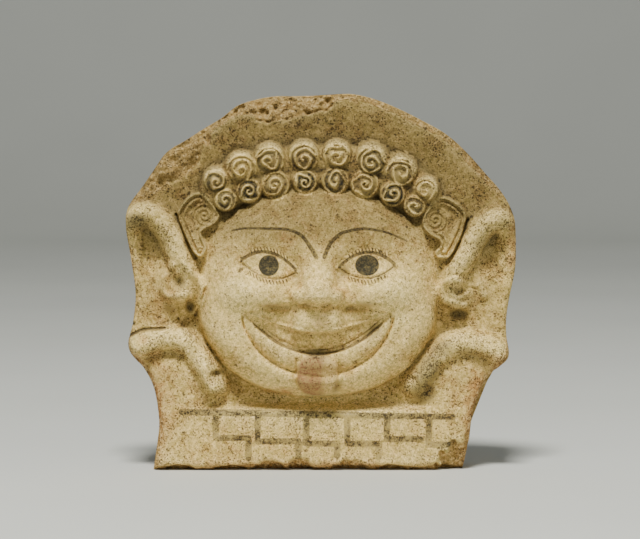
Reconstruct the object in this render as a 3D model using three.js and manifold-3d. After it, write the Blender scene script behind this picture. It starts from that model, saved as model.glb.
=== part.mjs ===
// Gorgon antefix: the fired-clay end plate of a roof cover tile, pressed in a mould in one piece.
// Millimetres, +Z up. The face looks along -Y and the plate stands on the flat foot of its band.
// The front is a relief: a depth forward of the flat back for every place across and up the plate.
import * as THREE from 'three';
import { mergeVertices } from 'three/addons/utils/BufferGeometryUtils.js';
import Module from 'manifold-3d';

// Main sizes: the width over the snakes and the height over the arch.
// The places below, across and up, are drawn in one proportion and stretched to these sizes.
const plateWidth = 220.7;
const plateHeight = 212.4;

// Outline of the plate, across and up, from the foot to the shoulders and over the arch.
// It follows the wear and the breaks of the edge, so its two sides differ.
const leftEdge = [
  [-95, 0], [-92.5, 17], [-91.7, 29], [-94.4, 45.6], [-100.3, 57], [-106.4, 63.6], [-109.2, 71.5],
  [-106.6, 84], [-105.2, 100], [-107.4, 118], [-110.2, 137], [-108.8, 149], [-102.4, 158.6], [-95.6, 167.6],
];
const rightEdge = [
  [80.5, 0], [83.5, 14], [85.6, 32], [88.6, 41], [93.5, 51], [101.1, 59], [106.3, 65],
  [105.3, 76], [105.3, 86], [107, 98], [110.2, 116], [109.9, 138], [107, 149], [101.1, 158.6], [93.1, 167.6],
];
const archEdge = [
  [-95.6, 167.6], [-88, 179], [-77.5, 185.7], [-66, 193], [-55.5, 199.4], [-47.9, 205.5], [-38, 208.8],
  [-25, 211], [-7, 210.6], [6, 211.8], [17, 212.3], [30, 209.5], [44, 204], [58, 197], [72, 189],
  [84, 178], [93.1, 167.6],
];

// Depths of the plate, measured forward from its flat back
const fieldDepth = 24;
const bandDepth = 36;
const bandTop = 33.5;
const ledgeHeight = 5;
const flank = { inner: 40, outer: 75, top: 78, foot: 36, rise: 9 };
const footSlope = { top: 60, foot: 36, rise: 2 };
const swelling = { side: 84, z: 106, across: 22, up: 24, rise: 3 };
const temple = { side: 58, z: 126, across: 26, up: 36, rise: 10 };
const rim = { inner: 24, outer: 3, foot: 120, top: 150, rise: 2.6 };

// Face: a full dome with a rounded jaw, and the channel that parts the jaw from the plate
const face = { x: -1.9, z: 97, halfWidth: 68, below: 56, above: 64, power: 2.2 };
const dome = { roll: 21, rollPower: 3.4, rollSharpness: 0.52, crown: 3, fall: 60 };
const jawChannel = { depth: 2.6, width: 9, offset: 2.5, top: 104, fullBelow: 72, foot: 30, fullAbove: 40 };
const jawFillet = { sharp: 1.8, soft: 12, low: 84, high: 112 };
const jaw = { radius: 0.86, halfWidth: 0.17, rise: 2.6, top: 96, fullBelow: 70 };
const browRidge = { x: 27, z: 138, across: 32, up: 10, turn: 0, rise: 1.4 };
const eyeSocket = { x: 27.4, z: 116.8, across: 24, up: 15, turn: 0, rise: -3.4 };
const noseSide = { x: 13.5, z: 114, across: 7, up: 11, turn: 0, rise: -2.6 };
const cheek = { x: 36, z: 103, across: 25, up: 17, turn: 0, rise: 5.5 };
const eyes = [{ x: -29.2, slant: -3 }, { x: 25.8, slant: 0.6 }];
const eyeball = { z: 116.6, halfWidth: 15.8, halfHeight: 7.4, upper: 7.6, lower: 6.4, bulge: 3 };
const noseBridge = { halfWidth: 8, spread: 3.4, spreadHeight: 26, top: 137, tip: 104, foot: 94, rise: 10.5 };
const noseTip = { z: 103, halfWidth: 10.5, halfHeight: 8.8, rise: 12, fillet: 4 };
const nostril = { x: 9.8, z: 100.6, halfWidth: 5.8, halfHeight: 5.4, rise: 8, fillet: 6 };

// Mouth: a wide grin; its lines are given at the middle, and by how much they rise to the corners
const mouth = { halfWidth: 42, corner: 0.86 };
const upperLip = { z: 79.7, lift: 11.8, power: 1.8 };
const lowerLip = { z: 67, lift: 23.5, power: 2.05 };
const chinLine = { z: 55, lift: 39.5, reach: 1.03 };
const underNose = { top: 94.5, drop: 3.2, middle: 16, middleSlope: 5, middleRise: 2.4 };
const noseFold = { depth: 2, halfHeight: 3 };
const opening = { depth: 2.8, slope: 1.8, bowl: 2.8 };
const lipRoll = 1.8;
const tongue = { z: 54.6, halfWidth: 11.6, halfLength: 12.3, power: 2.6, rise: 3.8 };

// Hair: a raised mass along the brow, and on it two rows of round curls with their places and diameters
const hairMass = {
  line: [
    [-56, 159], [-42.5, 165], [-27.4, 169.2], [-9.4, 170.7],
    [8.5, 171.4], [26.5, 169.2], [42.7, 163.2], [55.7, 155],
  ],
  halfWidth: 13, depth: 33.5, fillet: 2,
};
const upperCurls = [
  [-59, 164.8, 13.7], [-44.7, 171.5, 17.4], [-29, 176.3, 17], [-9.7, 177.9, 16.6],
  [9, 178.8, 15.5], [28.3, 176, 17.6], [45, 169.5, 17.6], [58.8, 159.7, 14],
];
const lowerCurls = [
  [-53.7, 153.4, 12.2], [-40.5, 158.6, 13.7], [-25.8, 162, 15.9], [-9, 163.5, 13.4],
  [8, 164, 15.2], [24.7, 162.3, 15.7], [40.4, 156.8, 14], [52.7, 150.1, 12],
];
const curl = { seat: 27, height: 11.2, root: 6, swell: 1.17, roundness: 2.5, sides: 12, steps: 4 };

// Ears: a shell that narrows into a hanging lobe, drawn round its edge, with the middle of its shell
const ears = [
  {
    edge: [
      [-81.7, 144.2], [-79.4, 150.1], [-74.6, 155.5], [-68.7, 157.6], [-64.8, 155.8], [-61.4, 151.8],
      [-58.3, 147.9], [-56.2, 144.5], [-58.6, 140.2], [-62.9, 137.4], [-66.8, 134.9], [-65.1, 129.9],
      [-63.8, 126.1], [-65.4, 122.1], [-68.3, 120.8], [-71.7, 122.8], [-75.2, 129.3], [-78.8, 137.1],
    ],
    shell: [-66.2, 143.3],
    side: -1,
  },
  {
    edge: [
      [64.5, 153.8], [59.8, 148.4], [56.7, 142.2], [57.3, 137.1], [60.9, 133.4], [66.2, 130.3], [66.6, 127.2],
      [64, 124.1], [64.7, 121], [68.6, 119.6], [72.2, 120.4], [75.8, 125.2], [79.8, 132.9], [82.3, 140],
      [82.3, 145], [78.7, 150.2], [72.8, 154.1], [68.6, 155.1],
    ],
    shell: [64.8, 140.7],
    side: 1,
  },
];
const earLift = 4.4;
const earRim = { rise: 1.9, halfWidth: 1.6, inset: 1.8 };
const earDish = { depth: 2.6, edge: 2.4, full: 6, inner: 9, outer: 15 };
const earFade = { from: -4, to: -12, kept: 0.25 };

// Snakes: the middle of each back, from the edge of the plate to the head
const snakes = [
  {
    spine: [
      [-110.3, 104.9], [-110.3, 117.9], [-109.8, 130.3], [-107.5, 139.4], [-102.4, 144.5], [-95.6, 144.2],
      [-89.4, 139.9], [-84.9, 133.7], [-82.1, 126.9], [-79.6, 120.5], [-77.6, 115], [-76.5, 108], [-76, 101],
    ],
    halfWidth: 8.8, rise: 10.5, tailFrom: 0.22, tailTo: 0.42, tailShare: 0.08,
  },
  {
    spine: [
      [108.4, 104.9], [107.8, 117.9], [107.8, 129.2], [105.6, 137.7], [100.5, 141.6], [94.8, 140.5],
      [89.8, 136], [85.8, 130.3], [82.4, 124.1], [78.6, 118], [75.4, 113], [74.2, 107], [73.8, 101],
    ],
    halfWidth: 8.4, rise: 10.5, tailFrom: 0.26, tailTo: 0.46, tailShare: 0.08,
  },
  {
    spine: [
      [-103, 70.6], [-96.8, 72.4], [-88.3, 74.4], [-80.4, 73.8], [-74.2, 70.4], [-69.6, 64.8], [-66.2, 60],
      [-62.8, 54.6], [-60, 49.5],
    ],
    halfWidth: 8.6, rise: 11, tailFrom: 0, tailTo: 0.1, tailShare: 1,
  },
  {
    spine: [
      [102.8, 62.7], [98.8, 68.4], [92, 71.5], [84.1, 72.3], [76.2, 71.2], [70, 67.8], [64.3, 63.3],
      [60, 58.5], [55.8, 53.6], [51.8, 49],
    ],
    halfWidth: 8.2, rise: 10.5, tailFrom: 0, tailTo: 0.1, tailShare: 1,
  },
];
const snakeSeat = { plateLimit: 33, sunk: 4, fillet: 5 };
const snakeSkirt = { reach: 1.7, share: 0.18 };
const headFall = { from: 0.74, share: 0.65 };

// Soft lumps, and hollows with a negative rise: inside the hoops of the snakes, and on their four heads
const hoops = [
  { x: -96.5, z: 126, across: 11, up: 18, turn: 0, rise: -3 },
  { x: 95.5, z: 124.5, across: 11, up: 18, turn: 0, rise: -3.4 },
  { x: -84, z: 59, across: 22, up: 14, turn: -20, rise: 4 },
  { x: 78, z: 59, across: 24, up: 14, turn: 20, rise: 4 },
];
const headLumps = [
  { x: -77, z: 102, across: 15, up: 17, turn: 0, rise: 4.2 },
  { x: -80.4, z: 107.2, across: 5.2, up: 6, turn: 0, rise: -4.2 },
  { x: -74.2, z: 93, across: 3.6, up: 5.4, turn: 0, rise: -4.4 },
  { x: 76, z: 100, across: 15, up: 17, turn: 0, rise: 4.2 },
  { x: 78.4, z: 102.1, across: 5.4, up: 4.2, turn: 0, rise: -4 },
  { x: 77.9, z: 87.9, across: 8, up: 4.2, turn: 0, rise: -4.2 },
  { x: 65.5, z: 89.1, across: 3, up: 5, turn: 0, rise: -1.6 },
  { x: 67.6, z: 99.4, across: 5, up: 7, turn: 0, rise: 1.6 },
  { x: -61, z: 53, across: 15, up: 17, turn: 0, rise: 5 },
  { x: -58.9, z: 55.2, across: 3.8, up: 2.6, turn: 0, rise: -3.8 },
  { x: -57.8, z: 47.8, across: 7, up: 4.8, turn: 8, rise: 2.6 },
  { x: 54, z: 51, across: 16, up: 15, turn: 20, rise: 4.8 },
  { x: -100.7, z: 63.8, across: 9, up: 3.4, turn: 0, rise: -2.4 },
];

// Ridges on the heads, and the deep line between each ear and the snake beside it
const ridges = [
  { line: [[-77.5, 117.9], [-73.6, 113.4], [-69.6, 108.9], [-66.9, 103.2], [-67.4, 97.6], [-70, 92.5]],
    halfWidth: 3.4, rise: 2.4 },
  { line: [[-87.7, 98.7], [-82.6, 98.1], [-76.4, 99.2]], halfWidth: 3.8, rise: 2.8 },
  { line: [[-84.9, 115.6], [-88.3, 110], [-89.4, 102.1]], halfWidth: 3.8, rise: 2 },
  { line: [[-66.6, 58], [-65, 51], [-61, 46], [-54.5, 44.6]], halfWidth: 2.8, rise: 2 },
  { line: [[66.5, 100.5], [67, 103.6], [69, 106.3], [72.8, 107.8], [77.9, 107.7]],
    halfWidth: 3.4, rise: 2.2 },
  { line: [[68.6, 96.8], [70.9, 95.2], [75.6, 94], [81.3, 93.4]], halfWidth: 3.2, rise: 2.6 },
  { line: [[86.4, 112.2], [89.8, 106.6], [92.6, 98.7]], halfWidth: 4, rise: 1.8 },
  { line: [[-81.9, 144], [-79.6, 138.6], [-76.8, 132], [-74.4, 125.8], [-71.3, 120.3]],
    halfWidth: 2.6, rise: -3.2 },
  { line: [[83, 141.1], [80.7, 135.2], [77.9, 128.6], [74.9, 123], [71.1, 117.9]],
    halfWidth: 2.6, rise: -3.2 },
];

// Damage: the rim broken away above the hair, the worn shoulder beside it, and the chipped foot
const rimBreak = {
  edge: [
    [-64, 183], [-59, 194.8], [-44.1, 200.2], [-31.9, 196.8], [-21, 197.5], [-7.5, 200.2], [3.5, 203.5],
    [8, 209], [6, 222], [-40, 222], [-75, 205],
  ],
  step: 1.6, slope: 0.5, reach: 14, grain: 7, rough: 2.2, seed: 9,
};
const wornShoulder = {
  edge: [
    [-114, 150], [-99, 152], [-85, 161], [-73, 168], [-67, 175], [-65.3, 184.4], [-62, 190], [-56, 199],
    [-75, 206], [-105, 190],
  ],
  depth: 1.6, grain: 7, rough: 2.8, seed: 3,
};
const footChips = [
  { x: -29.5, halfWidth: 9.5, height: 5, depth: 3 },
  { x: -12.2, halfWidth: 7.5, height: 6, depth: 3.6 },
  { x: 16.3, halfWidth: 10, height: 5.2, depth: 3 },
  { x: 40, halfWidth: 7, height: 2.8, depth: 2 },
  { x: -52, halfWidth: 9, height: 2.4, depth: 2 },
  { x: -80, halfWidth: 9, height: 3, depth: 2 },
];
const cornerChip = { x: 84, z: -1, halfWidth: 20, height: 17, depth: 5 };
const edgeWear = { width: 2.4, fall: 1.6, flankWidth: 2.6, flankFall: 2.4, flankTop: 78, flankBlend: 12 };

// The relief is cut into square cells of three sizes, smaller where the surface bends more
const coarseCells = 26;
const fineCells = 104;
const bendTolerance = 1.2;

const { clamp, smoothstep, degToRad, lerp } = THREE.MathUtils;

// From 0 at one value to 1 at another, which may be the lower one
function ease(from, to, value) {
  return from < to ? smoothstep(value, from, to) : 1 - smoothstep(value, to, from);
}

// The larger of two depths, with a fillet of the given size where they meet
function blendMax(a, b, fillet) {
  const share = clamp(0.5 + (0.5 * (a - b)) / fillet, 0, 1);
  return lerp(b, a, share) + fillet * share * (1 - share);
}

// A soft bump: 1 in its middle, 0 from its half width on
function bump(distance, halfWidth) {
  const t = clamp(Math.abs(distance) / halfWidth, 0, 1);
  return (1 - t * t) ** 2;
}

// A round top: 1 in its middle, falling to 0 ever more steeply
function roundTop(distance, halfWidth, power) {
  const t = clamp(Math.abs(distance) / halfWidth, 0, 1);
  return (1 - t ** power) ** (1 / power);
}

// A soft oval bump, turned in the plane of the plate
function ovalBump(x, z, oval) {
  const turn = degToRad(oval.turn);
  const across = (x - oval.x) * Math.cos(turn) + (z - oval.z) * Math.sin(turn);
  const up = (z - oval.z) * Math.cos(turn) - (x - oval.x) * Math.sin(turn);
  return oval.rise * bump(Math.hypot(across / oval.across, up / oval.up), 1);
}

// The same on both sides of the face, for a place given by how far it lies to the side
function sideSwell(side, z, swell) {
  return swell.rise * bump(Math.hypot((side - swell.side) / swell.across, (z - swell.z) / swell.up), 1);
}

// Height of one corner of the grain, the same every time
function grainCorner(x, z, seed) {
  const wave = Math.sin(x * 127.1 + z * 311.7 + seed * 74.7) * 43758.5453;
  return wave - Math.floor(wave) - 0.5;
}

// Roughness of a broken surface, between about -0.5 and 0.5
function grain(x, z, size, seed) {
  const left = Math.floor(x / size);
  const low = Math.floor(z / size);
  const across = ease(0, 1, x / size - left);
  const up = ease(0, 1, z / size - low);
  const bottom = lerp(grainCorner(left, low, seed), grainCorner(left + 1, low, seed), across);
  const top = lerp(grainCorner(left, low + 1, seed), grainCorner(left + 1, low + 1, seed), across);
  return lerp(bottom, top, up);
}

function smoothCurve(points) {
  return new THREE.SplineCurve(points.map(([x, z]) => new THREE.Vector2(x, z)));
}

// A closed line through the points, as short straight steps
function closedLine(points) {
  const ring = new THREE.CatmullRomCurve3(points.map(([x, z]) => new THREE.Vector3(x, z, 0)), true);
  return ring.getPoints(points.length * 4).map((point) => new THREE.Vector2(point.x, point.y));
}

// Distance to a line of short steps, and how far along it the nearest place is, from 0 to 1
function nearestOnLine(x, z, line) {
  let squared = Infinity;
  let along = 0;
  for (let i = 0; i + 1 < line.length; i += 1) {
    const { x: fromX, y: fromZ } = line[i];
    const stepX = line[i + 1].x - fromX;
    const stepZ = line[i + 1].y - fromZ;
    const reach = (x - fromX) * stepX + (z - fromZ) * stepZ;
    const share = clamp(reach / (stepX * stepX + stepZ * stepZ), 0, 1);
    const gapX = x - fromX - share * stepX;
    const gapZ = z - fromZ - share * stepZ;
    const gap = gapX * gapX + gapZ * gapZ;
    if (gap < squared) {
      squared = gap;
      along = (i + share) / (line.length - 1);
    }
  }
  return { distance: Math.sqrt(squared), along };
}

// Distance to a closed line, positive inside it
function depthInside(x, z, line) {
  let inside = false;
  for (let i = 0; i + 1 < line.length; i += 1) {
    const { x: fromX, y: fromZ } = line[i];
    const { x: toX, y: toZ } = line[i + 1];
    if (fromZ > z !== toZ > z && x < ((toX - fromX) * (z - fromZ)) / (toZ - fromZ) + fromX) {
      inside = !inside;
    }
  }
  const { distance } = nearestOnLine(x, z, line);
  return inside ? distance : -distance;
}

const leftCurve = smoothCurve(leftEdge);
const rightCurve = smoothCurve(rightEdge);
const archCurve = smoothCurve(archEdge);
const outline = [
  ...leftCurve.getSpacedPoints(60),
  ...archCurve.getSpacedPoints(80),
  ...rightCurve.getSpacedPoints(60).reverse(),
  leftCurve.getPoint(0),
];
const drawn = new THREE.Box2().setFromPoints(outline);
const stretchAcross = plateWidth / (drawn.max.x - drawn.min.x);
const stretchUp = plateHeight / (drawn.max.y - drawn.min.y);
const earLines = ears.map((ear) => closedLine(ear.edge));
const snakeLines = snakes.map((snake) => smoothCurve(snake.spine).getSpacedPoints(40));
const ridgeLines = ridges.map((ridge) => smoothCurve(ridge.line).getSpacedPoints(12));
const hairLine = smoothCurve(hairMass.line).getSpacedPoints(24);
const breakLine = closedLine(rimBreak.edge);
const wornLine = closedLine(wornShoulder.edge);

// The plate without its figures: thicker to the foot, dished behind the hair, with a flat band below
function plateDepth(x, z, fromEdge) {
  const side = Math.abs(x - face.x);
  let depth = fieldDepth + flank.rise * ease(flank.inner, flank.outer, side) * ease(flank.top, flank.foot, z);
  depth += footSlope.rise * ease(footSlope.top, footSlope.foot, z);
  depth = lerp(depth, bandDepth, ease(bandTop + ledgeHeight, bandTop, z));
  depth += sideSwell(side, z, swelling) + sideSwell(side, z, temple);
  return depth + rim.rise * ease(rim.inner, rim.outer, fromEdge) * ease(rim.foot, rim.top, z);
}

// 0 in the middle of the face and 1 at its edge
function faceRadius(x, z) {
  const across = Math.abs(x - face.x) / face.halfWidth;
  const up = Math.abs(z - face.z) / (z < face.z ? face.below : face.above);
  return (across ** face.power + up ** face.power) ** (1 / face.power);
}

function faceDome(radius) {
  if (radius > 1) {
    return fieldDepth - dome.fall * (radius - 1);
  }
  const roll = (1 - radius ** dome.rollPower) ** dome.rollSharpness;
  return fieldDepth + dome.roll * roll + dome.crown * (1 - radius ** 2);
}

function eyeRelief(x, z) {
  const side = Math.abs(x - face.x);
  let relief = ovalBump(side, z, browRidge) + ovalBump(side, z, eyeSocket) + ovalBump(side, z, noseSide);
  for (const eye of eyes) {
    const across = (x - eye.x) / eyeball.halfWidth;
    const arch = 1 - Math.min(Math.abs(across), 1.3) ** 2;
    const level = eyeball.z + eye.slant * clamp(across, -1.1, 1.1);
    const upper = level + eyeball.upper * arch;
    const lower = level - eyeball.lower * arch;
    const within = ease(lower - 0.5, lower + 1, z) * ease(upper + 0.5, upper - 1, z);
    const out = Math.hypot(across / 1.05, (z - (upper + lower) / 2) / eyeball.halfHeight);
    relief += within * ease(1, 0.93, Math.abs(across)) * eyeball.bulge * roundTop(out, 1, 2);
  }
  return relief;
}

function noseRelief(x, z) {
  const side = Math.abs(x - face.x);
  const spread = ease(noseBridge.tip + noseBridge.spreadHeight, noseBridge.tip, z);
  const halfWidth = noseBridge.halfWidth + noseBridge.spread * spread;
  const slope = ease(noseBridge.top, noseBridge.tip, z) * ease(noseBridge.foot, noseBridge.foot + 6, z);
  const bridge = noseBridge.rise * slope * roundTop(side, halfWidth, 2);
  const toTip = Math.hypot(side / noseTip.halfWidth, (z - noseTip.z) / noseTip.halfHeight);
  const toWing = Math.hypot((side - nostril.x) / nostril.halfWidth, (z - nostril.z) / nostril.halfHeight);
  const middle = blendMax(bridge, noseTip.rise * roundTop(toTip, 1, 2), noseTip.fillet);
  return blendMax(middle, nostril.rise * roundTop(toWing, 1, 2), nostril.fillet);
}

// The wide grin: the lip under the nose, the opening, the lower lip and the bowl they lie in
function mouthRelief(x, z) {
  const side = Math.abs(x - face.x);
  const across = Math.min(side / mouth.halfWidth, 1.3);
  const upper = upperLip.z + upperLip.lift * across ** upperLip.power;
  const lower = lowerLip.z + lowerLip.lift * across ** lowerLip.power;
  const bend = Math.sqrt(Math.max(1 - (across / chinLine.reach) ** 2, 0));
  const chin = chinLine.z + chinLine.lift * (1 - bend);
  const under = ease(underNose.top + 2.5, underNose.top - 2.5, z) * ease(upper - 2, upper + 1, z);
  const middle = ease(underNose.middle, underNose.middle - underNose.middleSlope, side);
  let relief = under * ease(1, 0.45, across) * lerp(-underNose.drop, underNose.middleRise, middle);
  const fold = bump(z - underNose.top + 1, noseFold.halfHeight);
  relief -= noseFold.depth * fold * ease(0.3, 0.42, across) * ease(0.95, 0.6, across);
  const below = ease(upper + opening.slope, upper - opening.slope, z);
  const above = ease(lower - opening.slope, lower + opening.slope, z);
  relief -= opening.depth * below * above * ease(mouth.corner + 0.1, mouth.corner - 0.2, across);
  const bowl = ease(chin - 5, chin + 3, z) * ease(upper + 5, upper - 3, z);
  relief -= opening.bowl * bowl * ease(1.14, 0.94, across);
  const halfLip = Math.max((lower - chin) / 2, 1);
  return relief + lipRoll * roundTop(z - (lower + chin) / 2, halfLip, 2) * ease(1.06, 0.96, across);
}

function cheekAndTongueRelief(x, z) {
  const side = Math.abs(x - face.x);
  const across = (side / tongue.halfWidth) ** tongue.power;
  const along = (Math.abs(z - tongue.z) / tongue.halfLength) ** tongue.power;
  const lick = tongue.rise * roundTop((across + along) ** (1 / tongue.power), 1, 3);
  const ring = bump(faceRadius(x, z) - jaw.radius, jaw.halfWidth) * ease(jaw.top, jaw.fullBelow, z);
  return ovalBump(side, z, cheek) + lick + jaw.rise * ring;
}

// Depth of the plate with the face laid on it, meeting it sharply at the jaw and softly at the temples
function faceDepth(x, z, fromEdge) {
  const radius = faceRadius(x, z);
  const outside = (radius - 1) * dome.fall - jawChannel.offset;
  const upward = ease(jawChannel.top, jawChannel.fullBelow, z);
  const jawOnly = upward * ease(jawChannel.foot, jawChannel.fullAbove, z);
  const channel = jawChannel.depth * bump(outside, jawChannel.width) * jawOnly;
  const ground = plateDepth(x, z, fromEdge) - channel;
  const features = eyeRelief(x, z) + noseRelief(x, z) + mouthRelief(x, z) + cheekAndTongueRelief(x, z);
  const figure = faceDome(radius) + features * ease(1.03, 0.97, radius);
  const fillet = jawFillet.sharp + jawFillet.soft * ease(jawFillet.low, jawFillet.high, z);
  return blendMax(ground, figure, fillet);
}

// A snake's round back over the plate, low where its tail lies along the edge
function addSnake(depth, ground, x, z, snake, line) {
  const { distance, along } = nearestOnLine(x, z, line);
  const tail = lerp(snake.tailShare, 1, ease(snake.tailFrom, snake.tailTo, along));
  const rise = snake.rise * tail * (1 - headFall.share * ease(headFall.from, 1, along));
  const skirt = bump(distance, snake.halfWidth * snakeSkirt.reach) * ease(0.96, 1.02, faceRadius(x, z));
  const drawnUp = depth + snakeSkirt.share * rise * skirt;
  if (distance >= snake.halfWidth) {
    return drawnUp;
  }
  const seat = Math.min(ground, snakeSeat.plateLimit) - snakeSeat.sunk;
  const back = seat + (rise + snakeSeat.sunk) * roundTop(distance, snake.halfWidth, 2);
  return blendMax(drawnUp, back, snakeSeat.fillet);
}

// An ear's rim, dished shell and lobe, sinking into the cheek on its inner side
function earRelief(x, z, ear, line) {
  const inside = depthInside(x, z, line);
  if (inside < -1) {
    return 0;
  }
  const toShell = Math.hypot(x - ear.shell[0], z - ear.shell[1]);
  const dish = ease(earDish.edge, earDish.full, inside) * ease(earDish.outer, earDish.inner, toShell);
  let relief = earLift * ease(-0.6, 1.6, inside) - earDish.depth * dish;
  relief += earRim.rise * bump(inside - earRim.inset, earRim.halfWidth);
  const outward = ease(earFade.to, earFade.from, (x - ear.shell[0]) * ear.side);
  return relief * lerp(earFade.kept, 1, outward);
}

// What breaks and wear have taken from the front
function lostDepth(x, z, fromEdge) {
  const inWorn = depthInside(x, z, wornLine);
  let lost = wornShoulder.depth * ease(-1, 3, inWorn);
  lost -= wornShoulder.rough * grain(x, z, wornShoulder.grain, wornShoulder.seed) * ease(0, 3, inWorn);
  const inBreak = depthInside(x, z, breakLine);
  lost += rimBreak.step * ease(-0.2, 0.9, inBreak) + rimBreak.slope * clamp(inBreak, 0, rimBreak.reach);
  lost -= rimBreak.rough * grain(x, z, rimBreak.grain, rimBreak.seed) * ease(0, 2, inBreak);
  for (const chip of footChips) {
    lost += chip.depth * ease(1, 0.72, Math.hypot((x - chip.x) / chip.halfWidth, z / chip.height));
  }
  const fromCorner = (x - cornerChip.x) / cornerChip.halfWidth;
  lost += cornerChip.depth * ease(1, 0.8, Math.hypot(fromCorner, (z - cornerChip.z) / cornerChip.height));
  const low = ease(edgeWear.flankTop, edgeWear.flankTop - edgeWear.flankBlend, z);
  const worn = clamp(1 - fromEdge / (edgeWear.width + edgeWear.flankWidth * low), 0, 1);
  return lost + (edgeWear.fall + edgeWear.flankFall * low) * worn * worn;
}

// Depth of the whole front, forward of the back
function frontDepth(x, z) {
  const fromEdge = Math.max(depthInside(x, z, outline), 0);
  const ground = plateDepth(x, z, fromEdge);
  let depth = faceDepth(x, z, fromEdge);
  for (const hoop of hoops) {
    depth += ovalBump(x, z, hoop);
  }
  snakes.forEach((snake, i) => {
    depth = addSnake(depth, ground, x, z, snake, snakeLines[i]);
  });
  for (const lump of headLumps) {
    depth += ovalBump(x, z, lump);
  }
  ears.forEach((ear, i) => {
    depth += earRelief(x, z, ear, earLines[i]);
  });
  ridges.forEach((ridge, i) => {
    depth += ridge.rise * bump(nearestOnLine(x, z, ridgeLines[i]).distance, ridge.halfWidth);
  });
  const toHair = nearestOnLine(x, z, hairLine).distance;
  if (toHair < hairMass.halfWidth) {
    const hair = lerp(fieldDepth, hairMass.depth, roundTop(toHair, hairMass.halfWidth, 3));
    depth = blendMax(depth, hair, hairMass.fillet);
  }
  return depth - lostDepth(x, z, fromEdge);
}

// Place on the plate for a share across and a share up, stretched between the four edges
function platePlace(across, up) {
  const foot = new THREE.Vector2().lerpVectors(leftCurve.getPoint(0), rightCurve.getPoint(0), across);
  const arch = archCurve.getPointAt(across);
  const left = leftCurve.getPointAt(up);
  const right = rightCurve.getPointAt(up);
  const place = foot.multiplyScalar(1 - up).addScaledVector(arch, up);
  place.addScaledVector(left, 1 - across).addScaledVector(right, across);
  place.addScaledVector(leftCurve.getPoint(0), -(1 - across) * (1 - up));
  place.addScaledVector(rightCurve.getPoint(0), -across * (1 - up));
  place.addScaledVector(leftCurve.getPoint(1), -(1 - across) * up);
  return place.addScaledVector(rightCurve.getPoint(1), -across * up);
}

// Points of the front, worked out once for each corner of the finest cells
const cornerPoints = new Map();
function corner(column, row) {
  const key = column * (fineCells + 1) + row;
  if (!cornerPoints.has(key)) {
    const place = platePlace(column / fineCells, row / fineCells);
    const depth = frontDepth(place.x, place.y);
    cornerPoints.set(key, new THREE.Vector3(place.x * stretchAcross, -depth, place.y * stretchUp));
  }
  return cornerPoints.get(key);
}

// How far the front bends away from a flat cell, at its middle and the middles of its sides
function cellBend(column, row, size) {
  const half = size / 2;
  const [a, b] = [corner(column, row).y, corner(column + size, row).y];
  const [c, d] = [corner(column, row + size).y, corner(column + size, row + size).y];
  const offs = [
    corner(column + half, row + half).y - (a + b + c + d) / 4,
    corner(column + half, row).y - (a + b) / 2,
    corner(column + half, row + size).y - (c + d) / 2,
    corner(column, row + half).y - (a + c) / 2,
    corner(column + size, row + half).y - (b + d) / 2,
  ];
  return Math.max(...offs.map(Math.abs));
}

// Size of the cell over each finest cell, with neighbours at most twice as large as each other
function planCells() {
  const coarse = fineCells / coarseCells;
  const sizes = Array.from({ length: fineCells }, () => new Array(fineCells).fill(coarse));
  function setSize(column, row, size, value) {
    for (let i = column; i < column + size; i += 1) {
      sizes[i].fill(value, row, row + size);
    }
  }
  for (let size = coarse; size > 1; size /= 2) {
    for (let column = 0; column < fineCells; column += size) {
      for (let row = 0; row < fineCells; row += size) {
        if (sizes[column][row] === size && cellBend(column, row, size) > bendTolerance) {
          setSize(column, row, size, size / 2);
        }
      }
    }
  }
  for (let column = 0; column < fineCells; column += 1) {
    for (let row = 0; row < fineCells; row += 1) {
      if (sizes[column][row] === 1) {
        for (const [i, j] of [[column - 1, row], [column + 1, row], [column, row - 1], [column, row + 1]]) {
          if (sizes[i]?.[j] === coarse) {
            setSize(i - (i % coarse), j - (j % coarse), coarse, coarse / 2);
          }
        }
      }
    }
  }
  return sizes;
}

// Runs through the cells that the front is cut into, with the corner and the size of each
function eachCell(sizes, use) {
  for (let column = 0; column < fineCells; column += 1) {
    for (let row = 0; row < fineCells; row += 1) {
      const size = sizes[column][row];
      if (column % size === 0 && row % size === 0) {
        use(column, row, size);
      }
    }
  }
}

function usedCorners(sizes) {
  const used = new Set();
  eachCell(sizes, (column, row, size) => {
    for (const [i, j] of [[0, 0], [size, 0], [size, size], [0, size]]) {
      used.add((column + i) * (fineCells + 1) + row + j);
    }
  });
  return used;
}

function flatArea(a, b, c) {
  return (b.x - a.x) * (c.z - a.z) - (c.x - a.x) * (b.z - a.z);
}

// The front as cells of two triangles, or fans from a side that meets smaller cells
function frontTriangles(sizes, used) {
  const triangles = [];
  eachCell(sizes, (column, row, size) => {
    const half = size / 2;
    const steps = [
      [0, 0], [half, 0], [size, 0], [size, half], [size, size], [half, size], [0, size], [0, half],
    ];
    const ring = steps.filter(([i, j]) => used.has((column + i) * (fineCells + 1) + row + j));
    const points = ring.map(([i, j]) => corner(column + i, row + j));
    const hub = ring.findIndex(([i, j]) => i === half || j === half);
    if (hub >= 0) {
      for (let i = 1; i + 1 < points.length; i += 1) {
        triangles.push([0, i, i + 1].map((step) => points[(hub + step) % points.length]));
      }
    } else {
      const [a, b, c, d] = points;
      const straight = Math.min(flatArea(a, b, c), flatArea(a, c, d));
      const crossed = Math.min(flatArea(a, b, d), flatArea(b, c, d));
      triangles.push(...(straight > crossed ? [[a, b, c], [a, c, d]] : [[a, b, d], [b, c, d]]));
    }
  });
  return triangles;
}

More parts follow.
